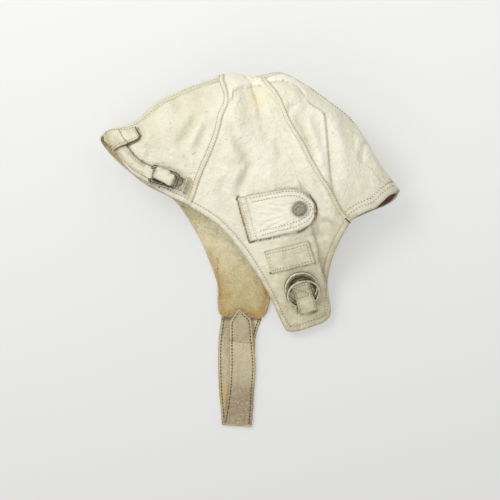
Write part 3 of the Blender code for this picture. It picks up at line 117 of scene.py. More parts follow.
class Finish:
    """A material with its running colour, and short ways to add nodes to it."""

    def __init__(self, name, **sockets):
        self.material = bpy.data.materials.new(name)
        self.material.use_nodes = True
        self.tree = self.material.node_tree
        self.shader = self.tree.nodes["Principled BSDF"]
        for socket, value in sockets.items():
            self.shader.inputs[socket.replace("_", " ")].default_value = value
        self.place = self.add("ShaderNodeTexCoord").outputs["Object"]

    def add(self, kind, **values):
        node = self.tree.nodes.new(kind)
        for key, value in values.items():
            setattr(node, key, value)
        return node

    def join(self, source, target):
        self.tree.links.new(source, target)

    def noise(self, scale, detail=3.0, rough=0.55, low=0.35, high=0.65, most=None):
        """Cloudy noise: low comes out black, and high comes out white, or as much of white as most says."""
        node = self.add("ShaderNodeTexNoise")
        for socket, value in (("Scale", scale), ("Detail", detail), ("Roughness", rough)):
            node.inputs[socket].default_value = value
        self.join(self.place, node.inputs["Vector"])
        spread = self.spread(node.outputs["Fac"], low, high)
        return spread if most is None else self.spread(spread, 0, 1, 0, most)

    def cells(self, scale):
        node = self.add("ShaderNodeTexVoronoi", feature="F1")
        node.inputs["Scale"].default_value = scale
        self.join(self.place, node.inputs["Vector"])
        return node.outputs["Distance"]

    def spread(self, source, low, high, to_low=0.0, to_high=1.0):
        node = self.add("ShaderNodeMapRange")
        for socket, value in (("From Min", low), ("From Max", high), ("To Min", to_low), ("To Max", to_high)):
            node.inputs[socket].default_value = value
        self.join(source, node.inputs["Value"])
        return node.outputs["Result"]

    def painted(self, name):
        """A value that the mesh carries at its points."""
        return self.add("ShaderNodeAttribute", attribute_name=name).outputs["Fac"]

    def patchy(self, name, *cloud):
        """A carried value, broken up by noise."""
        return self.maths("MULTIPLY", self.painted(name), self.noise(*cloud))

    def maths(self, operation, a, b):
        node = self.add("ShaderNodeMath", operation=operation)
        for socket, value in zip(node.inputs, (a, b)):
            if isinstance(value, float):
                socket.default_value = value
            else:
                self.join(value, socket)
        return node.outputs["Value"]

    def blend(self, amount, a, b):
        """A colour between two others; each may be a colour or a node's output."""
        node = self.add("ShaderNodeMix", data_type="RGBA")
        self.join(amount, node.inputs["Factor"])
        for socket, value in ((node.inputs[6], a), (node.inputs[7], b)):
            if isinstance(value, tuple):
                socket.default_value = (*value, 1)
            else:
                self.join(value, socket)
        return node.outputs[2]

    def ground(self, a, b, *cloud):
        """The first colour, a cloudy mix of two."""
        self.tone = self.blend(self.noise(*cloud), a, b)

    def lay(self, amount, colour):
        """One more colour over those before it."""
        self.tone = self.blend(amount, self.tone, colour)

    def dress(self, *layers, gloss=None):
        """Joins the colour, the bumps with their depths in metres, and a roughness between two values."""
        self.join(self.tone, self.shader.inputs["Base Color"])
        if gloss:
            scale, low, high = gloss
            self.join(self.spread(self.noise(scale), 0, 1, low, high), self.shader.inputs["Roughness"])
        last = None
        for source, depth in layers:
            node = self.add("ShaderNodeBump")
            node.inputs["Strength"].default_value = 1.0
            node.inputs["Distance"].default_value = depth
            self.join(source, node.inputs["Height"])
            if last is not None:
                self.join(last, node.inputs["Normal"])
            last = node.outputs["Normal"]
        if last is not None:
            self.join(last, self.shader.inputs["Normal"])


sheet = Finish("table_sheet", Roughness=0.9, Specular_IOR_Level=0.1)
sheet.ground(TABLE_TINT, tuple(v * TABLE_CLOUD for v in TABLE_TINT), 0.7, 1.0)
sheet.dress()
sheet_place = sheet.add("ShaderNodeSeparateXYZ")
sheet.join(sheet.place, sheet_place.inputs["Vector"])
sheet_share = sheet.spread(sheet_place.outputs["Y"], TABLE_DIM_END, TABLE_BRIGHT_END)
# Painted light: to the camera the table glows, dim at low y and bright at high y, which also lightens the cap's
# shadow.
glow = sheet.add("ShaderNodeEmission")
sheet.join(sheet.blend(sheet_share, TABLE_DIM, TABLE_BRIGHT), glow.inputs["Color"])
ray = sheet.add("ShaderNodeLightPath").outputs
seen = sheet.maths("ADD", ray["Is Camera Ray"], ray["Is Glossy Ray"])
seen = sheet.maths("ADD", seen, ray["Is Transmission Ray"])
mixed = sheet.add("ShaderNodeMixShader")
sheet.join(sheet.maths("MULTIPLY", seen, TABLE_GLOW), mixed.inputs["Fac"])
sheet.join(sheet.shader.outputs["BSDF"], mixed.inputs[1])
sheet.join(glow.outputs["Emission"], mixed.inputs[2])
sheet.join(mixed.outputs["Shader"], sheet.tree.nodes["Material Output"].inputs["Surface"])
table_mesh = bpy.data.meshes.new("table")
corners = [
    (x * TABLE_SIZE / 2, y * TABLE_SIZE / 2, -TABLE_DROP) for x, y in ((-1, -1), (1, -1), (1, 1), (-1, 1))
]
table_mesh.from_pydata(corners, [], [(0, 1, 2, 3)])
table_mesh.materials.append(sheet.material)
table = bpy.data.objects.new("table", table_mesh)
scene.collection.objects.link(table)

# The shell is cream lambskin, suede side in, cut as a band from ear to ear with two panels behind it and two
# in front. It has collapsed flat, so its ribs run from the near edge over the crest to the far edge, and the
# skin carries the folds, the turned hem and the dips of the seams.
CAP_LENGTH = 0.2673
CAP_HEIGHT = 0.2304
CAP_THICK = 0.075
CAP_ORIGIN = np.array((-0.133835, -0.072268, 0.0))
LEATHER = 0.0016
FLOOR = 0.0015
FLOOR_SOFT = 0.003
LOWEST_SKIN = 0.0004
POCKET_BUMP = 0.0086
POCKET_BUMP_RADIUS = 0.045
CREST_ANGLE = math.radians(76)
BAND_SPLIT = math.radians(118)
PANEL_GAP = 0.003
NAPE_START = 0.42
BROW_END = 21.95
SEAM_A = 5
SEAM_B = 17
SEAM_GAP = 0.02
HEM_WIDTH = 0.0056
HEM_HEIGHT = 0.0009
HEM_ROW = 0.0006
BROW_HEM_WIDTH = 0.0106
BROW_INNER_ROW = 0.0062
TIP_DRAWN = 0.06
TIP_OPEN = 0.12
WAVE_HEIGHT = 0.0013
RIPPLE_HEIGHT = 0.0006
FOLD_DEEP = 0.0028
# Places here and below are thousandths of the cap's length and height, from its corner by the nape. A rib has
# its near edge, its crest and its far edge, each with a height, and how far it bulges.
FAR_POCKET_SHARE = (508, 484)
RIB_SHARES = (
    ((0, 754, 293), (0, 754, 307), (0, 754, 280), 0),
    ((47, 711, 453), (37, 781, 400), (10, 727, 133), 107),
    ((98, 629, 533), (121, 812, 480), (40, 684, 60), 187),
    ((155, 586, 547), (192, 887, 507), (84, 637, 30), 227),
    ((215, 539, 560), (290, 945, 533), (152, 574, 20), 267),
    ((293, 492, 560), (407, 992, 533), (239, 520, 15), 293),
    ((401, 410, 507), (434, 1000, 560), (283, 461, 15), 333),
    ((502, 266, 293), (455, 1002, 560), (337, 352, 15), 373),
    ((569, 137, 180), (468, 1000, 560), (377, 238, 15), 400),
    ((616, 20, 120), (478, 996, 560), (397, 160, 15), 400),
    ((636, 0, 110), (483, 994, 560), (397, 94, 15), 400),
    ((670, 4, 105), (488, 992, 560), (407, 62, 15), 400),
    ((710, 20, 105), (492, 990, 560), (468, 59, 15), 400),
    ((751, 39, 105), (495, 988, 560), (532, 51, 15), 400),
    ((771, 74, 110), (498, 986, 560), (559, 78, 15), 400),
    ((761, 180, 180), (502, 984, 560), (572, 137, 15), 400),
    ((781, 301, 400), (512, 982, 560), (613, 270, 15), 373),
    ((835, 422, 560), (529, 988, 560), (731, 387, 20), 320),
    ((879, 461, 587), (606, 996, 560), (822, 426, 30), 240),
    ((929, 484, 560), (710, 934, 533), (899, 465, 50), 187),
    ((973, 512, 507), (832, 828, 467), (956, 492, 100), 133),
    ((993, 531, 427), (926, 668, 400), (987, 516, 187), 67),
    ((1000, 543, 347), (1000, 543, 360), (1000, 543, 333), 0),
)
# Folds as places, half width and height: below zero is a valley.
FOLDS = (
    (((710, 871), (764, 832), (791, 762), (808, 660), (825, 559)), 0.007, 0.0019),
    (((657, 840), (684, 773), (707, 719), (727, 668)), 0.004, -0.0024),
    (((684, 824), (710, 754), (734, 676), (754, 590)), 0.0034, 0.0016),
    (((886, 738), (875, 699), (872, 645)), 0.0026, -0.0015),
    (((825, 824), (845, 754), (852, 660)), 0.005, -0.0006),
    (((781, 855), (811, 824), (828, 723)), 0.004, -0.0005),
    (((337, 852), (306, 793), (279, 746), (259, 707)), 0.004, -0.0016),
    (((354, 840), (327, 777), (296, 715)), 0.004, 0.0012),
    (((246, 910), (259, 879), (266, 840)), 0.0034, -0.0014),
    (((199, 871), (226, 832), (232, 770)), 0.005, 0.0006),
    (((165, 832), (195, 762), (195, 676)), 0.0055, -0.0008),
    (((125, 797), (143, 781), (148, 754), (138, 719)), 0.0018, -0.0014),
    (((278, 680), (290, 656), (296, 625)), 0.0022, -0.0012),
    (((357, 793), (337, 730), (316, 668)), 0.0034, -0.001),
    (((441, 871), (428, 785), (401, 699), (377, 598)), 0.0044, -0.0008),
    (((438, 801), (451, 738), (481, 688), (502, 641), (485, 598), (455, 551)), 0.0036, -0.002),
    (((488, 793), (515, 723), (535, 660)), 0.0056, 0.001),
    (((582, 746), (596, 707), (606, 660)), 0.004, -0.0014),
    (((620, 840), (636, 871), (667, 891)), 0.0024, -0.0014),
    (((556, 934), (582, 879), (599, 816)), 0.003, -0.0018),
    (((488, 598), (471, 559), (448, 512)), 0.0042, -0.0016),
    (((421, 605), (407, 527), (431, 441)), 0.0055, -0.0014),
    (((731, 457), (771, 449), (818, 422)), 0.0022, 0.0013),
    (((727, 430), (768, 422), (808, 398)), 0.002, -0.0015),
    (((710, 383), (744, 371), (781, 371)), 0.0022, -0.0009),
    (((542, 332), (616, 336), (690, 363), (731, 395)), 0.0026, -0.0013),
    (((731, 309), (751, 270), (754, 215)), 0.0026, -0.0004),
    (((542, 270), (569, 199), (603, 129)), 0.0036, 0.001),
    (((768, 598), (781, 543), (808, 488)), 0.0028, -0.0018),
    (((737, 621), (751, 566), (771, 520)), 0.0024, 0.0012),
    (((407, 668), (441, 645), (488, 645)), 0.0034, -0.0008),
    (((131, 746), (165, 707), (172, 668)), 0.003, -0.001),
)
# Ledges, where the leather laps over itself: places with the raised side on the left, half width, height and
# reach.
LEDGES = (
    (((431, 863), (443, 891), (446, 922), (458, 938), (478, 945), (512, 947), (542, 955), (562, 963),
      (593, 966), (620, 962), (653, 953), (675, 932), (687, 908), (685, 883)), 0.0007, 0.0026, 0.009),
    (((774, 543), (768, 598), (761, 676), (756, 746), (747, 828), (737, 854), (714, 863),
      (694, 887)), 0.0008, 0.0022, 0.008),
    (((798, 457), (758, 496), (731, 527), (697, 574)), 0.0009, 0.001, 0.005),
)
# Painted shade: dark lines on the near side where shadows fall beside the pieces sewn on, inside the rings and
# along
# creases: places, half width and strength.
SHADE_LINES = (
    (((459, 522), (470, 463), (484, 408), (499, 348)), 0.0007, 1.8),
    (((500, 346), (562, 361), (640, 379), (681, 393), (706, 416), (722, 445), (726, 469), (721, 495),
      (701, 528)), 0.0007, 1.75),
    (((571, 226), (623, 241), (721, 268)), 0.0006, 1.3),
    (((721, 266), (698, 348)), 0.0005, 0.6),
    (((637, 160), (640, 188), (655, 205), (677, 212), (700, 203), (719, 178)), 0.0021, 2.4),
    (((719, 178), (724, 148), (719, 125)), 0.0015, 1.6),
    (((659, 98), (662, 71), (687, 67), (729, 78)), 0.0007, 1.7),
    (((62, 704), (78, 715), (106, 725), (132, 738), (141, 756), (129, 787)), 0.0008, 1.4),
    (((886, 746), (877, 707), (872, 656)), 0.0006, 0.5),
    (((886, 648), (909, 627), (934, 588), (948, 576)), 0.0004, 0.5),
    (((562, 959), (613, 969), (658, 949), (682, 914), (697, 883), (731, 859), (749, 838)), 0.0006, 0.6),
    (((749, 838), (758, 762), (764, 668), (772, 582), (785, 512)), 0.0005, 0.6),
    (((620, 844), (636, 869), (667, 889)), 0.0006, 0.35),
    (((446, 938), (443, 910), (433, 883)), 0.0006, 0.45),
)
STAIN_SHARES = (((524, 893), 0.006), ((515, 914), 0.0026), ((539, 875), 0.0022), ((492, 855), 0.0016),
                ((724, 578), 0.0024), ((710, 586), 0.0014))

ribs = np.array([
    np.concatenate([np.array(point) / 1000 * (CAP_LENGTH, CAP_HEIGHT, CAP_THICK) for point in points]
                   + [[bulge / 1000 * CAP_THICK]])
    for *points, bulge in RIB_SHARES
])


def spot(shares):
    """Places on the table for thousandths of the cap's length and height."""
    return np.array(shares) / 1000 * (CAP_LENGTH, CAP_HEIGHT) + CAP_ORIGIN[:2]


def unit(v):
    return v / np.maximum(np.linalg.norm(v, axis=-1, keepdims=True), 1e-12)


def bell(x, width=1.0):
    """A soft hump at zero, down to a third at its half width."""
    return np.exp(-((x / width) ** 2))


def ramp(x, low, high):
    t = np.clip((x - low) / (high - low), 0, 1)
    return t * t * (3 - 2 * t)


def through(rows, u):
    """Values at any place along a table, on a smooth curve through its rows."""
    u = np.clip(np.asarray(u, float), 0, len(rows) - 1)
    i = np.minimum(u.astype(int), len(rows) - 2)
    t = (u - i)[..., None]
    a, b, c, d = (rows[np.clip(i + k, 0, len(rows) - 1)] for k in (-1, 0, 1, 2))
    return 0.5 * (2 * b + (c - a) * t + (2 * a - 5 * b + 4 * c - d) * t**2 + (3 * b - a - 3 * c + d) * t**3)


def shell(u, phi):
    """The cap's smooth outer face: phi runs from the near edge over the crest to the far edge."""
    v = through(ribs, u)
    phi = np.asarray(phi, float)[..., None]
    near, crest, far = v[..., 0:3], v[..., 3:6], v[..., 6:9]
    middle = (near + far) / 2
    p = middle + (crest - middle) * np.sin(phi) + (near - middle) * np.cos(phi)
    z = p[..., 2] + v[..., 9] * np.sin(2 * phi[..., 0])
    pocket = np.array(FAR_POCKET_SHARE) / 1000 * (CAP_LENGTH, CAP_HEIGHT)
    away = np.hypot(p[..., 0] - pocket[0], p[..., 1] - pocket[1]) / POCKET_BUMP_RADIUS
    low = FLOOR + POCKET_BUMP * np.exp(-(away**4))
    over = z - low
    z = low + (over + np.sqrt(over**2 + FLOOR_SOFT**2)) / 2
    return np.stack([p[..., 0], p[..., 1], z], -1) + CAP_ORIGIN


def shell_normal(u, phi):
    step = 0.004
    along = shell(u + step, phi) - shell(u - step, phi)
    return unit(np.cross(along, shell(u, phi + step) - shell(u, phi - step)))


def line_distance(points, line):
    """Distance to a polyline, how far along it the nearest place is, and 1 where it lies to the left."""
    best = np.full(points.shape[:-1], 1e9)
    along = np.zeros(points.shape[:-1])
    side = np.zeros(points.shape[:-1])
    lengths = np.linalg.norm(np.diff(line, axis=0), axis=1)
    done = 0.0
    for a, b, length in zip(line[:-1], line[1:], lengths):
        t = np.clip(((points - a) @ (b - a)) / max(length, 1e-9) ** 2, 0, 1)
        away = np.linalg.norm(points - (a + t[..., None] * (b - a)), axis=-1)
        closer = away < best
        best = np.where(closer, away, best)
        along = np.where(closer, (done + t * length) / lengths.sum(), along)
        turn = (b - a)[0] * (points - a)[..., 1] - (b - a)[1] * (points - a)[..., 0]
        side = np.where(closer, np.sign(turn), side)
        done += length
    return best, along, side


def faded(along, power=4):
    """One along most of a line, and down to zero at its ends."""
    return 1 - np.abs(2 * along - 1) ** power


def cloud(points, scale, seed):
    """Smooth noise at each point, about -1 to 1."""
    values = np.array([noise.noise(Vector(p)) for p in points.reshape(-1, 3) * scale + seed])
    return values.reshape(points.shape[:-1])


def edge_angle(u, near):
    """The angle of the cut edge. The near side is drawn back at the brow's tip, where the far side shows."""
    u = np.asarray(u, float)
    if not near:
        return np.full_like(u, math.pi)
    return TIP_DRAWN * ramp(u, 18.6, 20.4) + TIP_OPEN * ramp(u, 20.9, 21.7)


edge_u = np.linspace(NAPE_START, BROW_END, 500)
cut_edges = {near: shell(edge_u, edge_angle(edge_u, near)) for near in (True, False)}


def edge_distance(points, near):
    """Distance of each point from the cut edge, and the rib beside it."""
    flat = points.reshape(-1, 3)
    best, place = np.empty(len(flat)), np.empty(len(flat))
    batch = 8000
    for first in range(0, len(flat), batch):
        away = np.linalg.norm(flat[first:first + batch, None] - cut_edges[near][None], axis=2)
        nearest = away.argmin(1)
        best[first:first + batch] = away[np.arange(len(away)), nearest]
        place[first:first + batch] = edge_u[nearest]
    return best.reshape(points.shape[:-1]), place.reshape(points.shape[:-1])


# Each seam wanders off its rib where the leather has creased; these are its places from the near edge to the
# crest.
SEAM_LINES = {
    SEAM_A: ((293, 492), (310, 531), (323, 582), (340, 631), (359, 680), (377, 732), (396, 793), (404, 844),
             (424, 884), (421, 926), (407, 965)),
    SEAM_B: ((835, 426), (808, 457), (785, 500), (768, 543), (737, 598), (702, 664), (677, 723), (643, 785),
             (616, 843), (603, 887), (576, 938), (552, 965)),
}
SEAM_REACH = {SEAM_A: 3.0, SEAM_B: 2.6}
SEAM_WANDER = 1.3
seam_angles = np.linspace(0, CREST_ANGLE + 0.5, 70)
seam_shift = {}
for seam, line in SEAM_LINES.items():
    track = through(spot(line), np.linspace(0, len(line) - 1, 300))
    tries = seam + np.linspace(-SEAM_WANDER, SEAM_WANDER, 131)
    shift = []
    for angle in seam_angles:
        flat = shell(tries, np.full(len(tries), angle))[:, :2]
        shift.append(tries[np.linalg.norm(flat[:, None] - track[None], axis=2).min(1).argmin()] - seam)
    shift = np.array(shift) * (1 - ramp(seam_angles, CREST_ANGLE - 0.12, CREST_ANGLE + 0.25))
    for _ in range(4):
        shift[1:-1] = (shift[:-2] + 2 * shift[1:-1] + shift[2:]) / 4
    seam_shift[seam] = shift


def warped(u, phi):
    """The rib at a place once the seams have wandered."""
    u = np.asarray(u, float)
    moved = u + np.zeros_like(np.asarray(phi, float))
    for seam, shift in seam_shift.items():
        nearness = ramp(1 - np.abs(u - seam) / SEAM_REACH[seam], 0, 1)
        moved = moved + np.interp(phi, seam_angles, shift, right=0.0) * nearness
    return moved


def fold_height(points, normals):
    """How far the folds and ledges lift the skin off the smooth shell, on the side that faces up."""
    height = np.zeros(points.shape[:-1])
    facing = ramp(normals[..., 2], 0.02, 0.30)
    for line, width, tall in FOLDS:
        across, along, _ = line_distance(points[..., :2], spot(line))
        height += tall * (bell(across, width) - 0.3 * bell(across / width - 2.0)) * faded(along) * facing
    for line, width, tall, reach in LEDGES:
        across, along, side = line_distance(points[..., :2], spot(line))
        step = 0.5 + 0.5 * np.tanh(across * side / width)
        raised = step * np.exp(-across / reach) - 0.35 * (1 - step) * np.exp(-across / 0.003)
        height += tall * raised * faded(along) * facing
    return height


def skin_height(points, folds, away, place):
    """How far the real skin stands off the smooth shell: folds, slow waves, the hem and its stitch line."""
    height = folds + WAVE_HEIGHT * cloud(points, 42.0, 3.0)
    height += RIPPLE_HEIGHT * cloud(points, 130.0, 9.0) + RIPPLE_HEIGHT * 0.5 * cloud(points, 260.0, 5.0)
    width = HEM_WIDTH + (BROW_HEM_WIDTH - HEM_WIDTH) * ramp(place, SEAM_B - 0.2, SEAM_B + 0.2)
    height *= 0.25 + 0.75 * ramp(away, 0.0, 0.012)
    height += HEM_HEIGHT * (1 - ramp(away, width - 0.0002, width + 0.0007))
    height -= HEM_HEIGHT * 0.9 * bell(away - width + HEM_ROW, 0.0006)
    return height, width


def grid_faces(rows, cols, first=0):
    starts = [first + r * cols + c for r in range(rows - 1) for c in range(cols - 1)]
    return [(k, k + 1, k + cols + 1, k + cols) for k in starts]


def grid_normals(grid, up=None):
    n = unit(np.cross(np.gradient(grid, axis=0), np.gradient(grid, axis=1)))
    if up is not None:
        n *= np.where((n * up).sum(-1, keepdims=True) < 0, -1, 1)
    return n


def new_piece(name, points, faces, finishes, face_finishes=None, values=None):
    """A mesh piece with its faces turned outwards, smooth, with any values carried at its points."""
    mesh = bpy.data.meshes.new(name)
    mesh.from_pydata(np.asarray(points, float).tolist(), [], [[int(i) for i in f] for f in faces])
    for finish in finishes:
        mesh.materials.append(finish.material)
    if face_finishes is not None:
        mesh.polygons.foreach_set("material_index", np.asarray(face_finishes, np.int32))
    for key, data in (values or {}).items():
        layer = mesh.attributes.new(key, "FLOAT", "POINT")
        layer.data.foreach_set("value", np.asarray(data, np.float32).reshape(-1))
    body = bmesh.new()
    body.from_mesh(mesh)
    bmesh.ops.recalc_face_normals(body, faces=body.faces)
    body.to_mesh(mesh)
    body.free()
    mesh.polygons.foreach_set("use_smooth", [True] * len(mesh.polygons))
    piece = bpy.data.objects.new(name, mesh)
    scene.collection.objects.link(piece)
    return piece


# The least darkening of a sheet's rim: darker cut edges, and painted shade along them.
RIM_DIRT_AND_SHADE = 0.6
RIM_BULGE = 0.42


def leather_sheet(name, outer, normals, thick, finishes, values=None, rim_dirt_and_shade=RIM_DIRT_AND_SHADE):
    """A closed sheet under a grid of outer points, its rim rounded. Outside and rim have the first finish."""
    rows, cols = outer.shape[:2]
    count = rows * cols
    thick = np.broadcast_to(np.asarray(thick, float), outer.shape[:2])[..., None]
    inner = outer - normals * thick
    numbers = np.arange(count).reshape(rows, cols)
    ring = [*numbers[0], *numbers[1:, -1], *numbers[-1, -2::-1], *numbers[-2:0:-1, 0]]
    middle = (outer + inner) / 2
    push = np.zeros_like(middle)
    push[0] += middle[0] - middle[1]
    push[-1] += middle[-1] - middle[-2]
    push[:, 0] += middle[:, 0] - middle[:, 1]
    push[:, -1] += middle[:, -1] - middle[:, -2]
    reach = (unit(push) * thick * RIM_BULGE).reshape(-1, 3)
    flat_outer, flat_inner = outer.reshape(-1, 3), inner.reshape(-1, 3)
    rim_points = [
        (flat_outer * (1 - share) + flat_inner * share + reach * math.sin(math.pi * share))[ring]
        for share in (0.2, 0.5, 0.8)
    ]
    under_first = min(1, len(finishes) - 1)
    faces = grid_faces(rows, cols) + [tuple(reversed(f)) for f in grid_faces(rows, cols, count)]
    kinds = [0] * (len(faces) // 2) + [under_first] * (len(faces) // 2)
    size = len(ring)
    between_rings = [[2 * count + size * n + k for k in range(size)] for n in range(3)]
    chain = [ring, *between_rings, [i + count for i in ring]]
    for a, b in zip(chain, chain[1:]):
        faces += [(a[k], a[(k + 1) % size], b[(k + 1) % size], b[k]) for k in range(size)]
        kinds += [0] * size
    carried = {}
    for key, data in (values or {}).items():
        flat = np.asarray(data, float).reshape(-1)
        rim = np.maximum(flat[ring], rim_dirt_and_shade) if key == "grime" else flat[ring]
        carried[key] = np.concatenate([flat, flat, rim, rim, rim])
    points = np.concatenate([flat_outer, flat_inner, *rim_points])
    return new_piece(name, points, faces, finishes, kinds, carried)


def stands_for(node, body, piece):
    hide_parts(node)
    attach(piece, body)


CREAM = (0.88, 0.85, 0.70)
CREAM_SHADE = (0.80, 0.775, 0.615)
# The next two colours are painted shade for the folds' valleys, and a painted highlight for their ridges that
# also gives cleaner pieces a paler tone.
FOLD_SHADE = (0.71, 0.695, 0.53)
PALE_AND_HIGHLIGHT = (0.93, 0.91, 0.78)
HANDLED = (0.53, 0.475, 0.295)
# The next colour is for dirt, and for painted shade beside the pieces sewn on and along creases.
DIRT_AND_SHADE = (0.33, 0.26, 0.145)
STAIN = (0.84, 0.73, 0.43)
SPECKS = (0.50, 0.43, 0.29)
# The next colour is the near-black of the strongest painted shadows.
SHADOW_DARK = (0.06, 0.042, 0.02)
leather = Finish("cream_lambskin", Roughness=0.5, Specular_IOR_Level=0.42)
leather.ground(CREAM, CREAM_SHADE, 38.0, 4.0)
leather.lay(leather.noise(230.0, 5.0, 0.7, most=0.6), CREAM_SHADE)
# Painted shade in the folds' valleys, and a painted highlight on their ridges.
leather.lay(leather.patchy("hollow", 110.0, 3.0, 0.6, 0.0, 0.5), FOLD_SHADE)
leather.lay(leather.patchy("crown", 90.0, 3.0, 0.6, 0.1, 0.6), PALE_AND_HIGHLIGHT)
leather.lay(leather.patchy("handled", 90.0, 3.0, 0.6, 0.1, 0.6), HANDLED)
# Dirt along edges, seams and stitches, and painted shade where the mesh carries it.
leather.lay(leather.patchy("grime", 260.0, 3.0, 0.6, 0.1, 0.6), DIRT_AND_SHADE)
leather.lay(leather.patchy("stain", 420.0, 3.0, 0.6, 0.3, 0.6), STAIN)
leather.lay(leather.noise(330.0, 2.0, 0.5, 0.70, 0.78), SPECKS)
# Where that value passes one, the painted shadows turn near black.
leather.lay(leather.spread(leather.painted("grime"), 1.0, 2.0, 0.0, 0.95), SHADOW_DARK)
leather.dress((leather.cells(800.0), 0.00013), (leather.noise(520.0, 4.0, 0.65), 0.00029),
              (leather.noise(190.0, 3.0, 0.6), 0.00042), gloss=(120.0, 0.42, 0.62))

# The lining is palest at the top, as pale as the colour goes: partly its own tone and partly painted light
# where the cap's shadow falls under the near edge. It turns tan towards the bottom.
SUEDE_PALE_AND_LIT = (1.0, 0.93, 0.64)
SUEDE_TAN = (0.70, 0.59, 0.31)
SUEDE_EDGE = (0.54, 0.33, 0.10)
SUEDE_DARK = (0.44, 0.36, 0.17)
SUEDE_WARM = (0.88, 0.78, 0.47)
SUEDE_NAP = (0.56, 0.42, 0.15)
suede = Finish("suede_inside", Roughness=0.95, Specular_IOR_Level=0.12, Sheen_Weight=0.25)
# Palest at the top, partly painted light, and tan towards the bottom.
suede.tone = suede.blend(suede.painted("depth"), SUEDE_PALE_AND_LIT, SUEDE_TAN)
suede_shade = suede.spread(suede.painted("depth"), 0, 1, 0.12, 0.5)
suede.lay(suede.maths("MULTIPLY", suede.noise(105.0, 6.0, 0.75, 0.38, 0.66), suede_shade), SUEDE_DARK)
suede.lay(suede.noise(60.0, 6.0, 0.7, 0.46, 0.72, 0.75), SUEDE_WARM)
suede.lay(suede.noise(240.0, 6.0, 0.8, 0.44, 0.64, 0.34), SUEDE_NAP)
suede.lay(suede.patchy("rim", 75.0, 4.0, 0.6, 0.15, 0.6), SUEDE_EDGE)
suede.dress((suede.noise(700.0, 4.0, 0.7), 0.0005), (suede.noise(130.0, 5.0, 0.65), 0.0012))

skin_points, skin_faces = [], []


def shell_panel(name, u_places, phi_places, near, nodes):
    """One panel of the shell, with what its leather and suede carry."""
    plain, phi = np.meshgrid(u_places, phi_places, indexing="ij")
    if near:
        phi = phi + edge_angle(plain, True) * (1 - phi / phi_places[-1])
    smooth = shell(warped(plain, phi), phi)
    normals = shell_normal(warped(plain, phi), phi)
    away, place = edge_distance(smooth, near)
    folds = fold_height(smooth, normals)
    height, hem = skin_height(smooth, folds, away, place)
    for seam, wide in ((SEAM_A, 0.0035), (SEAM_B, 0.0030)):
        gap = np.linalg.norm(smooth - shell(warped(np.full_like(plain, float(seam)), phi), phi), axis=-1)
        height = height * (0.3 + 0.7 * ramp(gap, 0.0, 0.007)) - 0.0004 * bell(gap, wide)
    on_crest = np.full_like(phi, CREST_ANGLE)
    crest_gap = np.linalg.norm(smooth - shell(warped(plain, on_crest), on_crest), axis=-1)
    if "band" not in name:
        height += 0.0005 * bell(crest_gap - 0.0022, 0.0014) - 0.0011 * bell(crest_gap, 0.0009)
    outer = smooth + normals * height[..., None]
    outer[..., 2] = np.maximum(outer[..., 2], LOWEST_SKIN)
    turned = grid_normals(outer, normals)
    thick = LEATHER * np.clip(np.minimum(plain - NAPE_START, BROW_END - plain) + 0.45, 0, 1)

    up_cap = (outer[..., 1] - spot((0, 0))[1]) / CAP_HEIGHT
    ahead = (outer[..., 0] - spot((603, 355))[0]) / CAP_LENGTH
    brow = ramp(plain, SEAM_B + 0.1, SEAM_B + 0.8)
    nape = 1 - ramp(outer[..., 0], spot((91, 668))[0], spot((165, 629))[0])
    handled = np.full_like(up_cap, 0.4)
    stain = np.zeros_like(up_cap)
    # Dirt along the cut edge, the hem's stitch row and the crest; painted shade lines are added to it below.
    grime = 0.55 * bell(away, 0.0014) + 0.15 * np.exp(-away / 0.006) * (1 - 0.8 * brow)
    grime = grime + 0.35 * bell(away - hem, 0.0007)
    if "band" not in name:
        grime += 0.45 * bell(crest_gap, 0.0010)
    if near:
        handled = (1 - ramp(up_cap - 0.9 * ahead, 0.10, 0.45)) * 0.9 * (1 - 0.5 * brow)
        handled = np.maximum(handled, 0.4 * ramp(up_cap, 0.66, 0.78) * (1 - ramp(plain, SEAM_A - 1, SEAM_A)))
        for share, size in STAIN_SHARES:
            stain += bell(np.linalg.norm(outer[..., :2] - spot(share), axis=-1), size)
        # Painted shade along these lines, on faces that look up.
        for line, width, strength in SHADE_LINES:
            gap, _, _ = line_distance(outer[..., :2], spot(line))
            grime += strength * bell(gap, width) * ramp(normals[..., 2], 0.0, 0.2)
    # The folds' valleys carry painted shade, and their ridges a painted highlight.
    values = {
        "handled": handled, "grime": grime, "stain": stain,
        "hollow": np.clip(-folds / FOLD_DEEP, 0, 1), "crown": np.clip(folds / FOLD_DEEP, 0, 1),
        "depth": 1 - ramp(up_cap, 0.08, 0.40),
        "rim": bell(away, 0.008) * (0.18 + 0.82 * np.maximum(1 - ramp(up_cap, 0.18, 0.36), 0.35 * nape)),
    }
    first = sum(len(p) for p in skin_points)
    skin_points.append(outer.reshape(-1, 3))
    skin_faces.extend(grid_faces(*outer.shape[:2], first))
    piece = leather_sheet(name, outer, turned, thick, (leather, suede), values, RIM_DIRT_AND_SHADE if near else 0.2)
    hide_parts(*nodes)
    return piece


rear_places = np.linspace(NAPE_START, SEAM_A - SEAM_GAP, 110)
brow_places = np.concatenate([np.linspace(SEAM_B + SEAM_GAP, 18.5, 50), np.linspace(18.55, BROW_END, 70)])
near_angles = np.linspace(0, CREST_ANGLE - PANEL_GAP, 84)
far_angles = np.linspace(CREST_ANGLE + PANEL_GAP, math.pi, 84)
for name, places, angles, near in (
    ("near_rear_skin", rear_places, near_angles, True), ("far_rear_skin", rear_places, far_angles, False),
    ("near_front_skin", brow_places, near_angles, True), ("far_front_skin", brow_places, far_angles, False),
):
    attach(shell_panel(name, places, angles, near, [name.replace("skin", "panel")]), "shell")

NEAR_FOLD_SHARES = ((468, 311), (822, 408))
FAR_FOLD_SHARES = ((300, 371), (737, 371))
NEAR_FOLD_HEIGHT = 0.04
FAR_FOLD_HEIGHT = 0.004
FOLD_REACH = 0.007


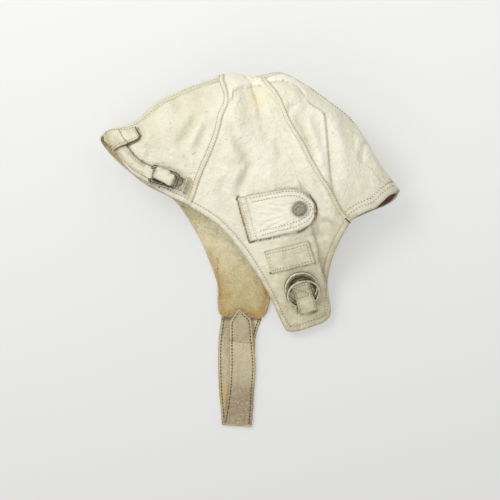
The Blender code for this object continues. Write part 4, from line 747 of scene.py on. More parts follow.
def fold_ends(shares, height):
    """Where the skin starts to leave the band and where it follows the flap: before and past the fold."""
    a, b = spot(shares)
    along = unit(b - a)
    across = np.array((-along[1], along[0])) * FOLD_REACH
    return {"start": (*((a + b) / 2 + across), height), "end": (*((a + b) / 2 - across), height)}


near_bend = fold_ends(NEAR_FOLD_SHARES, NEAR_FOLD_HEIGHT)
far_bend = fold_ends(FAR_FOLD_SHARES, FAR_FOLD_HEIGHT)
band_places = np.concatenate([
    np.linspace(SEAM_A + SEAM_GAP, 8, 60), np.linspace(8.04, 15, 110),
    np.linspace(15.05, SEAM_B - SEAM_GAP, 50),
])
near_band_angles, far_band_angles = np.linspace(0, BAND_SPLIT, 200), np.linspace(BAND_SPLIT, math.pi, 90)
near_band = shell_panel("near_band_skin", band_places, near_band_angles, True, ["crown_band", "near_ear_flap"])
far_band = shell_panel("far_band_skin", band_places, far_band_angles, False, ["far_ear_flap"])
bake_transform(near_band)
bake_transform(far_band)
skin = BVHTree.FromPolygons(np.concatenate(skin_points).tolist(), skin_faces)

# The seams are sewn with a stout linen thread, in rows that follow each edge: short straight stitches that
# sink a little into the leather. One tree lays them along any line.
STITCH_PITCH = 0.0027
STITCH_LENGTH = 0.0014
THREAD_RADIUS = 0.00034
STITCH_LIFT = 0.0001
ROW_INSET = HEM_WIDTH - HEM_ROW
UP = np.array((0, 0, 1.0))


def thread_finish(name, a, b):
    made = Finish(name, Roughness=0.85)
    made.ground(a, b, 900.0)
    made.dress((made.noise(4000.0), 0.00006))
    return made


thread = thread_finish("linen_thread", (0.26, 0.205, 0.115), (0.16, 0.125, 0.07))
dark_thread = thread_finish("dark_thread", (0.045, 0.03, 0.018), (0.10, 0.07, 0.04))
pale_thread = thread_finish("pale_thread", (0.58, 0.52, 0.37), (0.42, 0.36, 0.24))


def stitch_tree():
    tree = bpy.data.node_groups.new("stitch_row", "GeometryNodeTree")
    for name, kind in (("Geometry", "Geometry"), ("Pitch", "Float"), ("Stitch Length", "Float"),
                       ("Thread Radius", "Float"), ("Thread", "Material")):
        tree.interface.new_socket(name, in_out="INPUT", socket_type="NodeSocket" + kind)
    tree.interface.new_socket("Geometry", in_out="OUTPUT", socket_type="NodeSocketGeometry")
    new = tree.nodes.new
    given, result, curve = new("NodeGroupInput"), new("NodeGroupOutput"), new("GeometryNodeMeshToCurve")
    spaced, points = new("GeometryNodeResampleCurve"), new("GeometryNodeInstanceOnPoints")
    spaced.mode = "LENGTH"
    tangent, turn = new("GeometryNodeInputTangent"), new("FunctionNodeAlignRotationToVector")
    turn.axis = "Z"
    ball = new("GeometryNodeMeshUVSphere")
    for socket, value in (("Segments", 6), ("Rings", 5), ("Radius", 1.0)):
        ball.inputs[socket].default_value = value
    size, half = new("ShaderNodeCombineXYZ"), new("ShaderNodeMath")
    half.operation = "MULTIPLY"
    half.inputs[1].default_value = 0.5
    real, paint = new("GeometryNodeRealizeInstances"), new("GeometryNodeSetMaterial")
    for source, output, target, socket in (
        (given, "Geometry", curve, "Mesh"), (curve, "Curve", spaced, "Curve"),
        (given, "Pitch", spaced, "Length"),
        (spaced, "Curve", points, "Points"), (ball, "Mesh", points, "Instance"),
        (tangent, "Tangent", turn, "Vector"), (turn, "Rotation", points, "Rotation"),
        (given, "Stitch Length", half, 0), (given, "Thread Radius", size, "X"),
        (given, "Thread Radius", size, "Y"), (half, "Value", size, "Z"), (size, "Vector", points, "Scale"),
        (points, "Instances", real, "Geometry"), (real, "Geometry", paint, "Geometry"),
        (given, "Thread", paint, "Material"), (paint, "Geometry", result, "Geometry"),
    ):
        tree.links.new(source.outputs[output], target.inputs[socket])
    return tree


stitch_group = stitch_tree()
stitch_sockets = {
    item.name: item.identifier for item in stitch_group.interface.items_tree if item.in_out == "INPUT"
}


def plain_mesh(piece):
    """A piece's mesh as its modifiers leave it, smooth, with the modifiers gone."""
    made = bpy.data.meshes.new_from_object(piece.evaluated_get(bpy.context.evaluated_depsgraph_get()))
    piece.modifiers.clear()
    piece.data = made
    made.name = piece.name
    made.polygons.foreach_set("use_smooth", [True] * len(made.polygons))
    return made


def stitches(name, body, lines, finish=thread, pitch=STITCH_PITCH, length=STITCH_LENGTH, radius=THREAD_RADIUS):
    """One mesh of stitches along 3D lines, riding on a body when one is given."""
    points, edges = [], []
    for line in lines:
        first = len(points)
        points.extend(np.asarray(line).tolist())
        edges.extend((first + k, first + k + 1) for k in range(len(line) - 1))
    mesh = bpy.data.meshes.new(name)
    mesh.from_pydata(points, edges, [])
    row = bpy.data.objects.new(name, mesh)
    scene.collection.objects.link(row)
    modifier = row.modifiers.new("stitches", "NODES")
    modifier.node_group = stitch_group
    for key, value in (("Pitch", pitch), ("Stitch Length", length), ("Thread Radius", radius),
                       ("Thread", finish.material)):
        modifier[stitch_sockets[key]] = value
    plain_mesh(row)
    if body:
        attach(row, body)
    return row


def on_skin(p, outward):
    """The nearest place on the skin, and its normal turned the given way."""
    found, normal, _, _ = skin.find_nearest(Vector(p))
    normal = np.array(normal)
    return np.array(found), -normal if np.dot(normal, outward) < 0 else normal


def along_edge(near, first, last, inside):
    """A line on the skin at a set distance inside the cap's edge."""
    least_step = 0.0008
    u = np.linspace(first, last, 260)
    edge, toward = edge_angle(u, near), 1 if near else -1
    here = shell(u, edge)
    tangent = unit(np.gradient(here, axis=0))
    step = shell(u, edge + toward * 0.01) - here
    step = unit(step - tangent * (step * tangent).sum(1, keepdims=True))
    line = []
    for p in here + step * inside:
        found, normal = on_skin(p, UP * toward)
        p = found + normal * STITCH_LIFT
        if not line or np.linalg.norm(p - line[-1]) > least_step:
            line.append(p)
    return line


def crest_row(first, last, offset):
    u = np.linspace(first, last, 120)
    phi = np.full(len(u), CREST_ANGLE + offset)
    places = [on_skin(p, (0, 1, 0)) for p in shell(warped(u, phi), phi)]
    return [found + normal * STITCH_LIFT for found, normal in places]


for side, bend in (("near", near_bend), ("far", far_bend)):
    row = along_edge(side == "near", SEAM_A + 0.1, SEAM_B - 0.1, ROW_INSET)
    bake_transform(stitches(side + "_band_edge_stitches", None, [row]))
rim_rows = [
    along_edge(near, first, last, inside)
    for near in (True, False)
    for first, last, inside in (
        (NAPE_START + 0.1, SEAM_A - 0.1, ROW_INSET), (SEAM_B + 0.15, 20.9, BROW_HEM_WIDTH - HEM_ROW),
        (SEAM_B + 0.15, 21.0, BROW_INNER_ROW),
    )
]
rim_rows += [crest_row(0.8, SEAM_A - 0.15, 0.05), crest_row(SEAM_B + 0.3, 21.2, 0.05)]
stitches("shell_edge_stitches", "shell", rim_rows)
stitches("shell_crest_stitches", "shell", [crest_row(0.8, SEAM_A - 0.15, -0.05)], pale_thread, radius=0.00026)

# Two leather tapes cover the seams between the band and the panels, from the near edge over the crest to the
# far edge. Each is a folded strip a few millimetres wide, sewn down along both sides.
TAPE_THICK = 0.0013
REAR_TAPE_WIDTH = 0.0050
FRONT_TAPE_WIDTH = 0.0041
TAPE_EDGE = 0.0008
TAPE_START = 0.012
TAPE_ROWS, TAPE_COLS = 240, 9


def seam_track(seam, angles):
    rib = warped(np.full(len(angles), float(seam)), angles)
    return rib, shell(rib, angles)


def seam_tape(name, seam, width, node):
    """A tape along a seam. It gives back the lines of its two rows of stitches."""
    angles = np.linspace(TAPE_START, math.pi - TAPE_START, 500)
    reach = np.cumsum(np.linalg.norm(np.gradient(seam_track(seam, angles)[1], axis=0), axis=1))
    angles = np.interp(np.linspace(reach[0], reach[-1], TAPE_ROWS), reach, angles)
    rib, track = seam_track(seam, angles)
    outward = shell_normal(rib, angles)
    step = unit(np.cross(unit(np.gradient(track, axis=0)), outward))
    cols = np.linspace(-0.5, 0.5, TAPE_COLS)
    grid, normals = np.zeros((TAPE_ROWS, TAPE_COLS, 3)), np.zeros((TAPE_ROWS, TAPE_COLS, 3))
    for r, c in np.ndindex(TAPE_ROWS, TAPE_COLS):
        grid[r, c], normals[r, c] = on_skin(track[r] + step[r] * width * cols[c], outward[r])
    for _ in range(3):
        grid[1:-1] = (grid[:-2] + grid[1:-1] * 2 + grid[2:]) / 4
        normals[1:-1] = normals[:-2] + normals[1:-1] * 2 + normals[2:]
        normals = unit(normals)
    groove = 0.00018 * bell(np.abs(cols) * width - (width / 2 - TAPE_EDGE), 0.0004)
    lift = TAPE_THICK * (1 - np.abs(2 * cols) ** 3 * 0.45) - groove
    outer = grid + normals * (lift + 0.00012 * cloud(grid, 240.0, 5.0))[..., None]
    outer[..., 2] = np.maximum(outer[..., 2], 0.0)
    zero = np.zeros(grid.shape[:2])
    up_cap = (outer[..., 1] - spot((0, 0))[1]) / CAP_HEIGHT
    values = {"handled": 0.25 + 0.5 * (1 - ramp(up_cap, 0.3, 0.7)),
              "grime": zero + 0.25 * bell(np.abs(cols) - 0.5, 0.12),
              "stain": zero}
    piece = leather_sheet(name, outer, normals, lift * 0.98, (leather,), values, 0.2)
    stands_for(node, "shell", piece)
    return [outer[3:-3, c] + normals[3:-3, c] * 0.00005 for c in (1, -2)]


rear_rows = seam_tape("rear_seam_tape", SEAM_A, REAR_TAPE_WIDTH, "rear_seam_strip")
front_rows = seam_tape("front_seam_tape", SEAM_B, FRONT_TAPE_WIDTH, "front_seam_strip")
stitches("seam_tape_stitches", "shell", [*rear_rows, front_rows[1]], pitch=0.0026, length=0.0015, radius=0.0003)
stitches("seam_tape_pale_stitches", "shell", [front_rows[0]], pale_thread, 0.0026, 0.0013, 0.00028)

# Short bars of heavy dark stitches hold the corners: where the brow's hem meets the ear flap's, and beside
# the pocket and the patch. Each has a first and last place, a lift and a thread radius.
TACK_PITCH = 0.0007
TACKS = (
    ("corner_tack", "shell", (820, 439), (837, 421), TAPE_THICK, 0.0006),
    ("pocket_top_tack", "shell", (456, 512), (463, 526), 0.0003, 0.0005),
    ("patch_tack", "near_flap", (569, 227), (580, 226), 0.0003, 0.0005),
)
ABOVE = CAP_THICK * 2
DOWN = Vector((0, 0, -1))
for name, body, first, last, lift, radius in TACKS:
    line = []
    for t in np.linspace(0, 1, 14):
        hit, turned, _, _ = skin.ray_cast(Vector((*(spot(first) * (1 - t) + spot(last) * t), ABOVE)), DOWN)
        if hit is not None and hit[2] > CAP_THICK / 4:
            line.append(np.array(hit) + np.array(turned) * (1 if turned[2] > 0 else -1) * lift)
    stitches(name, body, [line], dark_thread, TACK_PITCH, STITCH_LENGTH, radius)

# The sweatband is a strip of dark brown leather sewn inside the brow, and only its lower edge shows.
FACING_WIDTH = 0.019
FACING_THICK = 0.0010
FACING_GAP = 0.0006
sweatband = Finish("brown_sweatband", Roughness=0.7)
sweatband.ground((0.15, 0.075, 0.05), (0.08, 0.042, 0.03), 70.0, 4.0)
sweatband.dress((sweatband.cells(900.0), 0.0002), (sweatband.noise(300.0), 0.0003))

facing_u = np.linspace(17.3, 21.55, 110)
for side in ("near", "far"):
    edge, toward = edge_angle(facing_u, side == "near"), 1 if side == "near" else -1
    speed = np.linalg.norm(shell(facing_u, edge + toward * 0.01) - shell(facing_u, edge), axis=-1) / 0.01
    reach = toward * np.minimum(FACING_WIDTH / speed, 0.9)
    phi = edge[:, None] + reach[:, None] * np.linspace(0.02, 1, 16)
    u = np.broadcast_to(facing_u[:, None], phi.shape)
    n = shell_normal(u, phi)
    outer = shell(u, phi) - n * (LEATHER + FACING_GAP)
    outer += n * 0.00015 * cloud(outer, 150.0, 2.0)[..., None]
    strip = leather_sheet(side + "_brow_facing_strip", outer, n, FACING_THICK, (sweatband,))
    stands_for(side + "_brow_facing", "shell", strip)

# Each ear pocket is a rounded flap of the same leather over the sound holes. Its straight end is sewn down as
# a hem, the rest lifts, and a press stud with a dull domed cap holds it.
POCKET_TOP_SHARES = ((462, 517), (489, 525), (529, 534), (576, 545), (620, 553), (660, 552), (690, 538),
                     (710, 518), (722, 498), (726, 479))
POCKET_LOW_SHARES = ((503, 352), (531, 360), (562, 369), (599, 380), (640, 392), (670, 403), (696, 420),
                     (713, 439), (723, 458), (726, 473))
SNAP_SHARE = (663, 484)
NEAR_POCKET_SHARE = (582, 445)
FAR_TURN = math.radians(-13.8)
POCKET_HEM_HEIGHT = 0.0024
POCKET_HEM_THICK = 0.0022
POCKET_THICK = 0.0016
POCKET_LEAST_RISE = 0.0006
POCKET_RISE = 0.0045
POCKET_SAG = 0.0012
POCKET_START = 0.0004
POCKET_ROWS = (0.0026, 0.0062)
POCKET_ROWS_START = 0.0034
POCKET_FOLDS = (
    (((505, 500), (556, 477), (616, 469)), 0.001, -0.0005),
    (((519, 516), (569, 496), (630, 488)), 0.0011, -0.0005),
    (((508, 461), (556, 457), (616, 461)), 0.001, -0.0004),
    (((522, 398), (562, 430), (623, 457)), 0.0011, -0.0006),
    (((542, 387), (582, 418), (633, 449)), 0.001, -0.0006),
    (((572, 379), (606, 406), (643, 441)), 0.001, -0.0005),
    (((529, 426), (569, 445), (620, 461)), 0.0012, 0.0004),
    (((556, 496), (589, 484), (630, 480)), 0.0012, 0.0004),
    (((616, 391), (636, 410), (657, 441)), 0.0012, -0.0005),
    (((498, 488), (542, 492), (589, 520)), 0.0022, 0.0004),
)


def polyline(points, count):
    """Evenly spaced places on a smooth curve through the points."""
    points = np.asarray(points, float)
    fine = np.linspace(points[0], points[1], 20)
    if len(points) > 2:
        fine = through(points, np.linspace(0, len(points) - 1, len(points) * 12))
    reach = np.concatenate([[0], np.cumsum(np.linalg.norm(np.diff(fine, axis=0), axis=1))])
    at = np.linspace(0, reach[-1], count)
    return np.stack([np.interp(at, reach, fine[:, k]) for k in range(points.shape[1])], 1)


def between(left, right, rows, cols):
    """A flat grid between two sides."""
    t = np.linspace(0, 1, cols)[None, :, None]
    return polyline(left, rows)[:, None] * (1 - t) + polyline(right, rows)[:, None] * t


def smooth_grid(values, times):
    for _ in range(times):
        padded = np.pad(values, 1, mode="reflect", reflect_type="odd")
        values = (padded[1:-1, 1:-1] * 2 + padded[:-2, 1:-1] + padded[2:, 1:-1] + padded[1:-1, :-2]
                  + padded[1:-1, 2:]) / 6
    return values


def dropped(flat, near, least=0.0, smooth=0):
    """Table places set on the cap's skin from above, or from below for the far side, with their normals."""
    start, way = (ABOVE, DOWN) if near else (-CAP_THICK, -DOWN)
    out = np.zeros((*flat.shape[:2], 3))
    found = np.ones(flat.shape[:2], bool)
    for index in np.ndindex(flat.shape[:2]):
        hit = skin.ray_cast(Vector((*flat[index], start)), way)[0]
        found[index] = hit is not None and hit[2] >= least
        out[index] = hit[:] if found[index] else (*flat[index], 0)
    good = np.argwhere(found)
    for index in np.argwhere(~found):
        out[tuple(index)][2] = out[tuple(good[np.argmin(((good - index) ** 2).sum(1))])][2]
    out[..., 2] = smooth_grid(out[..., 2], smooth)
    return out, grid_normals(out, UP) if near else np.broadcast_to(-UP, out.shape)


def rim_distance(grid, without=None):
    """Distance of grid points from the first row, last row, first column and last column, or all but one."""
    sides = [side for k, side in enumerate((grid[0], grid[-1], grid[:, 0], grid[:, -1])) if k != without]
    return np.linalg.norm(grid[..., None, :] - np.concatenate(sides), axis=-1).min(-1)


def swollen(edge, rounding):
    """A sewn sheet's thickness as a share: rounded at its rim, with a dip along its stitches."""
    return 1 - rounding * bell(edge, 0.0009) - 0.14 * bell(edge - 0.0026, 0.0005)


def worn(edge, handled=0.0, strength=0.6):
    """Values for the leather's paint: dirt along the edges and how handled the piece is."""
    zero = np.zeros(edge.shape)
    return {"handled": zero + handled, "grime": strength * bell(edge, 0.0008) + 0.15 * np.exp(-edge / 0.004),
            "stain": zero, "hollow": zero, "crown": zero + max(0.0, 0.5 - 2 * handled),
            "depth": zero, "rim": zero}


def turn_far(points, pivot=NEAR_POCKET_SHARE, place=FAR_POCKET_SHARE):
    """Places of the near side on the far one, which lies at another angle."""
    c, s = math.cos(FAR_TURN), math.sin(FAR_TURN)
    return (points - spot(pivot)) @ np.array(((c, s), (-s, c))) + spot(place)


def offset_line(outline, inside, count):
    """An outline moved to its left, spaced evenly."""
    fine = polyline(outline, count * 3)
    t = unit(np.gradient(fine, axis=0))
    return (fine + np.stack([-t[:, 1], t[:, 0]], 1) * inside)[::3]


def pocket_hem(prefix, near, top, low):
    """The sewn end of the pocket, on the shell."""
    on, n = dropped(between(top[:2], low[:2], 14, 50), near)
    edge = rim_distance(on, without=1)
    swell = swollen(edge, 0.35)
    outer = on + n * (POCKET_HEM_HEIGHT * swell + 0.00015 * cloud(on, 200.0, 4.0))[..., None]
    node, thick = prefix + "_pocket_hem", POCKET_HEM_THICK * swell
    piece = leather_sheet(node + "_skin", outer, n, thick, (leather,), worn(edge, 0.1), 0.25)
    stands_for(node, "shell", piece)
    rows = [outer[row, 2:-2] - n[row, 2:-2] * STITCH_LIFT for row in (3, 11)]
    stitches(prefix + "_hem_stitches", "shell", rows, radius=0.00028)


def pocket_flap(prefix, near, top, low, snap):
    """The part that lifts: it rises from the hinge to the snap, which pulls it in, with small folds."""
    body, sign = prefix + "_pocket", 1 if near else -1
    hinge_a, hinge_b = top[0], low[0]
    flap = between(top, low, 110, 70)
    back = unit(flap[1].mean(0) - flap[0].mean(0)) * POCKET_START
    flap += back * (np.linspace(1, 0, 110) ** 4)[:, None, None]
    across = unit(np.array((-(hinge_b - hinge_a)[1], (hinge_b - hinge_a)[0])))
    across *= -1 if np.dot(across, snap - hinge_a) < 0 else 1
    away = ((flap - hinge_a) * across).sum(-1) / np.linalg.norm(snap - (hinge_a + hinge_b) / 2)
    on, n = dropped(flap, near, smooth=320)
    edge = rim_distance(on, without=0)
    height = POCKET_THICK + POCKET_LEAST_RISE + (POCKET_RISE - POCKET_LEAST_RISE) * np.clip(away, 0, 1) ** 0.8
    height -= POCKET_SAG * 0.3 * bell(np.linalg.norm(flap - snap, axis=-1), 0.014) + 0.0006 * bell(edge, 0.0011)
    height += 0.0003 * bell(edge - 0.0044, 0.0016)
    for inside in POCKET_ROWS:
        height -= 0.0003 * bell(edge - inside, 0.00055)
    height += 0.00045 * cloud(on, 75.0, 8.0) + 0.00018 * cloud(on, 220.0, 1.0)
    if near:
        for line, width, tall in POCKET_FOLDS:
            gap, along, _ = line_distance(flap, spot(line))
            height += tall * bell(gap, width) * faded(along, 3)
    outer = on + n * height[..., None]
    if not near:
        outer[..., 2] = np.maximum(outer[..., 2], LOWEST_SKIN)
    facing = grid_normals(outer, UP * sign)
    name, values = prefix + "_pocket_skin", worn(edge, 0.05, 0.35)
    piece = leather_sheet(name, outer, facing, POCKET_THICK, (leather, suede), values, 0.3)
    stands_for(prefix + "_pocket_flap", body, piece)

    tree = BVHTree.FromPolygons(outer.reshape(-1, 3).tolist(), grid_faces(*outer.shape[:2]))
    lines = []
    for inside in POCKET_ROWS:
        row = offset_line(np.concatenate([top, low[::-1]]), -inside, 110)[2:-2]
        hits = [tree.ray_cast(Vector((*p, ABOVE * sign)), DOWN * sign)[0] for p in row
                if np.dot(p - hinge_a, across) >= POCKET_ROWS_START]
        lines.append([np.array(hit) + UP * sign * STITCH_LIFT for hit in hits if hit is not None])
    stitches(prefix + "_pocket_stitches", body, lines)


for prefix, near in (("near", True), ("far", False)):
    shares = (POCKET_TOP_SHARES, POCKET_LOW_SHARES, SNAP_SHARE)
    top, low, snap = (spot(s) if near else turn_far(spot(s)) for s in shares)
    pocket_hem(prefix, near, top, low)
    pocket_flap(prefix, near, top[1:], low[1:], snap)

# The patch on each ear flap is a second layer of leather that takes the pull of the rings or the chin strap.
PATCH_LEFT_SHARES = ((552, 309), (577, 227))
PATCH_RIGHT_SHARES = ((696, 350), (719, 269))
NEAR_PATCH_SHARE = (638, 288)
FAR_PATCH_SHARE = (488, 301)
PATCH_CREASE = 0.63
NEAR_PATCH_HEIGHT, NEAR_PATCH_THICK = 0.0022, 0.00198
FAR_PATCH_HEIGHT, FAR_PATCH_THICK = 0.0010, 0.0009
for side, near, tall, thick in (("near", True, NEAR_PATCH_HEIGHT, NEAR_PATCH_THICK),
                                ("far", False, FAR_PATCH_HEIGHT, FAR_PATCH_THICK)):
    flat = between(spot(PATCH_LEFT_SHARES), spot(PATCH_RIGHT_SHARES), 44, 80)
    if not near:
        flat = turn_far(flat, NEAR_PATCH_SHARE, FAR_PATCH_SHARE)
    on, n = dropped(flat, near)
    edge = rim_distance(on)
    height = tall * swollen(edge, 0.3) + 0.00025 * cloud(on, 90.0, 6.0)
    height -= 0.00035 * bell(np.linspace(0, 1, 80) - PATCH_CREASE, 0.012)
    outer = on + n * height[..., None]
    if not near:
        outer[..., 2] = np.maximum(outer[..., 2], 0.0003)
    node, body = side + "_patch", side + "_flap"
    patch = leather_sheet(node + "_skin", outer, n, thick, (leather,), worn(edge, 0.62, 0.4), 0.2)
    stands_for(node, body, patch)
    lines = [outer[5, 5:-5], outer[-6, 5:-5], outer[5:-5, 5], outer[5:-5, -6]]
    stitches(node + "_stitches", body, [line + UP * (STITCH_LIFT if near else -STITCH_LIFT) for line in lines])

# The press studs are nickel-plated brass gone dull: a domed cap riveted through the flap, a socket behind it
# and the stud on the band. The socket, stud and stud back keep their plain form, since only their finish
# shows. The cap's outline has its radius, its height and how dark it is painted there: tarnish on the dome,
# painted shade at its edge and in the groove inside its rim, and a painted highlight along the rim's top.
SNAP_PROFILE = ((0, 0, 1), (0.0066, 0, 1), (0.0070, 0.0003, 1), (0.0070, 0.0009, 1), (0.0068, 0.0012, 0.5),
                (0.0064, 0.0014, 0.0), (0.0060, 0.0013, 0.6), (0.0056, 0.0013, 0.9), (0.0050, 0.0016, 0.5),
                (0.0036, 0.0018, 0.35), (0.0018, 0.00195, 0.3), (0, 0.0020, 0.3))
SNAP_SIDES = 64
SNAP_HEIGHTS = {"near": 1.0, "far": 0.78}


def nickel_plate(name, roughness, pale, dark, clouds, tarnish, spot_tone, spots, gloss, bump):
    """Nickel: cloudy, darkened where the mesh carries tarnish and painted shade, with small dark spots and a
    fine grain.
    """
    made = Finish(name, Metallic=1.0, Roughness=roughness)
    made.ground(pale, dark, *clouds)
    if tarnish:
        made.lay(made.painted("tarnish"), tarnish)
    made.lay(made.noise(spots[0], 3.0, 0.6, *spots[1:]), spot_tone)
    made.dress((made.noise(bump[0], 3.0), bump[1]), gloss=gloss)
    return made


nickel = nickel_plate("dull_nickel", 0.42, (0.56, 0.53, 0.42), (0.36, 0.33, 0.25), (220.0, 4.0), None,
                      (0.13, 0.105, 0.07), (650.0, 0.62, 0.75), (500.0, 0.32, 0.55), (900.0, 0.00008))
snap_metal = nickel_plate("snap_nickel", 0.42, (0.70, 0.665, 0.53), (0.40, 0.37, 0.28),
                          (420.0, 4.0, 0.6, 0.3, 0.7), (0.20, 0.18, 0.125), (0.12, 0.10, 0.065),
                          (620.0, 0.56, 0.66), (500.0, 0.32, 0.55),
                          (900.0, 0.00012))


def cad_points(name):
    node = bpy.data.objects[name]
    return np.array([tuple(node.matrix_world @ v.co) for v in node.data.vertices])


def flat_frame(points, toward):
    """The middle of a flat or round node and its normal, turned towards a direction."""
    middle = points.mean(0)
    normal = np.linalg.svd(points - middle)[2][2]
    return middle, normal * (-1 if np.dot(normal, toward) < 0 else 1)


def turned_piece(name, profile, origin, normal, finish):
    """A round piece turned about its normal; the profile runs from the axis out and back to the axis."""
    turn = Vector(normal).to_track_quat("Z", "Y").to_matrix()
    around = [math.tau * k / SNAP_SIDES for k in range(SNAP_SIDES)]
    rings, points, shade = [], [], []
    for radius, height, dark in profile:
        angles = around if radius else [0.0]
        rings.append([len(points) + (k if radius else 0) for k in range(SNAP_SIDES)])
        flat = [(radius * math.cos(a), radius * math.sin(a), height) for a in angles]
        points += [turn @ Vector(place) + Vector(origin) for place in flat]
        shade += [dark] * len(angles)
    faces = []
    for a, b in zip(rings, rings[1:]):
        for k in range(SNAP_SIDES):
            m = (k + 1) % SNAP_SIDES
            faces.append(list(dict.fromkeys((a[k], a[m], b[m], b[k]))))
    return new_piece(name, points, faces, (finish,), None, {"tarnish": shade})


for side, tall in SNAP_HEIGHTS.items():
    node = side + "_snap_cap"
    points = cad_points(node)
    middle, normal = flat_frame(points, UP if side == "near" else -UP)
    base = middle + normal * ((points - middle) @ normal).min()
    profile = [(radius, height * tall, dark) for radius, height, dark in SNAP_PROFILE]
    dome = turned_piece(side + "_snap_dome", profile, base, normal, snap_metal)
    stands_for(node, side + "_pocket", dome)
    for part in ("_snap_socket", "_snap_stud", "_stud_back"):
        finishes = bpy.data.objects[side + part].data.materials
        finishes.clear()
        finishes.append(nickel.material)

# The ring tab is one strip of leather folded round the two rings, with its ends sewn to the flap in a box of
# stitches. Its path is given along the flap from the sewn end, and up from the flap.
TAB_TOP_SHARE = (670, 184)
TAB_FOLD_SHARE = (697, 80)
TAB_WIDTH = 0.016
TAB_LAYER = 0.0011
TAB_NOSE_SHARE = 0.5
TAB_CAVITY = 0.0078
TAB_GAP = 0.0003
TAB_BOX_SHARE, TAB_SIDES_SHARE = 0.2, 0.42
near_flap = bpy.data.objects["near_ear_flap"].data
flap_faces = [tuple(f.vertices) for f in near_flap.polygons]
flap_tree = BVHTree.FromPolygons(cad_points("near_ear_flap").tolist(), flap_faces)
tab_top, tab_fold = spot(TAB_TOP_SHARE), spot(TAB_FOLD_SHARE)
tab_length = np.linalg.norm(tab_fold - tab_top)
tab_along = (tab_fold - tab_top) / tab_length
tab_side = np.array((-tab_along[1], tab_along[0]))
tab_flat = tab_top + np.linspace(0, 1, 9)[:, None, None] * tab_along * tab_length
tab_flat = tab_flat + np.linspace(-0.5, 0.5, 5)[None, :, None] * tab_side * TAB_WIDTH
tab_on = np.array([[tuple(flap_tree.ray_cast(Vector((*p, ABOVE)), DOWN)[0]) for p in row] for row in tab_flat])
tab_on[..., 2] = smooth_grid(tab_on[..., 2], 3)
tab_n = unit(grid_normals(tab_on, UP).mean((0, 1)))
tab_s = np.array((*tab_side, 0.0))
tab_s = unit(tab_s - tab_n * np.dot(tab_s, tab_n))
tab_a = np.cross(tab_n, tab_s)
tab_a *= -1 if np.dot(tab_a[:2], tab_along) < 0 else 1
tab_origin = tab_on[0].mean(0)
tab_base = max(((tab_on - tab_origin) @ tab_n).max(), 0) + TAB_GAP
tab_half = TAB_CAVITY / 2 + TAB_LAYER
nose = tab_half * TAB_NOSE_SHARE
tab_path = [(0.0008, TAB_LAYER * 0.5), (tab_length * 0.2, TAB_LAYER * 0.5), (tab_length * 0.5, TAB_LAYER * 0.5)]
for angle in np.radians(np.arange(0, 181, 15)):
    drop = abs(math.cos(angle)) ** 0.75 * math.copysign(1, math.cos(angle))
    tab_path.append((tab_length - nose + (nose - TAB_LAYER / 2) * math.sin(angle),
                     tab_half - (tab_half - TAB_LAYER / 2) * drop))
tab_path += [(tab_length * 0.6, tab_half * 2 - TAB_LAYER * 0.6), (tab_length * 0.45, TAB_LAYER * 4.2),
             (tab_length * 0.32, TAB_LAYER * 1.7), (tab_length * 0.16, TAB_LAYER * 1.6), (0.0, TAB_LAYER * 1.6)]
tab_curve = polyline([(a, tab_base + h) for a, h in tab_path], 130)
tab_tangent = unit(np.gradient(tab_curve, axis=0))
tab_across = np.linspace(-0.5, 0.5, 22) * TAB_WIDTH
tab_grid = tab_origin + tab_curve[:, None, :1] * tab_a + tab_curve[:, None, 1:] * tab_n
tab_grid = tab_grid + tab_across[:, None] * tab_s
tab_out = np.broadcast_to(tab_tangent[:, None, 1:] * tab_a - tab_tangent[:, None, :1] * tab_n, tab_grid.shape)
tab_edge = np.broadcast_to(TAB_WIDTH / 2 - np.abs(tab_across), tab_grid.shape[:2])
tab_lift = TAB_LAYER / 2 - 0.00025 * bell(tab_edge, 0.0008) - 0.00016 * bell(tab_edge - 0.0018, 0.0005)
tab_face = tab_grid + tab_out * (tab_lift + 0.00025 * cloud(tab_grid, 180.0, 7.0))[..., None]
tab_values = worn(tab_edge, 0.95, 0.9)
ring_tab = leather_sheet("ring_tab_strip", tab_face, tab_out, TAB_LAYER * 0.94, (leather,), tab_values)
stands_for("ring_tab", "near_flap", ring_tab)
box = tab_face[::-1]
box_end, sides_end = int(len(box) * TAB_BOX_SHARE), int(len(box) * TAB_SIDES_SHARE)
diagonal = [box[int(2 + (box_end - 2) * t), int(2 + 17 * t)] for t in np.linspace(0, 1, 24)]
tab_lines = [box[2:box_end, 2], box[2:box_end, -3], box[2, 2:-2], box[box_end, 2:-2], np.array(diagonal),
             box[box_end:sides_end, 2], box[box_end:sides_end, -3]]
tab_lines = [line + tab_n * 0.00012 for line in tab_lines]
stitches("ring_tab_stitches", "near_flap", tab_lines, pitch=0.0024, length=0.0015)

# The two rings are bent from round wire and butt-welded. They hang in the tab's fold, one over the other.
RING_WIRE = 0.00125
WIRE_SIDES = 16
WIRE_END_STEPS = (0.6, 0.9)
ring_metal = nickel_plate("ring_nickel", 0.3, (0.88, 0.80, 0.60), (0.58, 0.50, 0.35), (160.0, 4.0),
                          (0.085, 0.06, 0.03), (0.12, 0.09, 0.05), (600.0, 0.6, 0.72), (420.0, 0.2, 0.42),
                          (700.0, 0.00006))


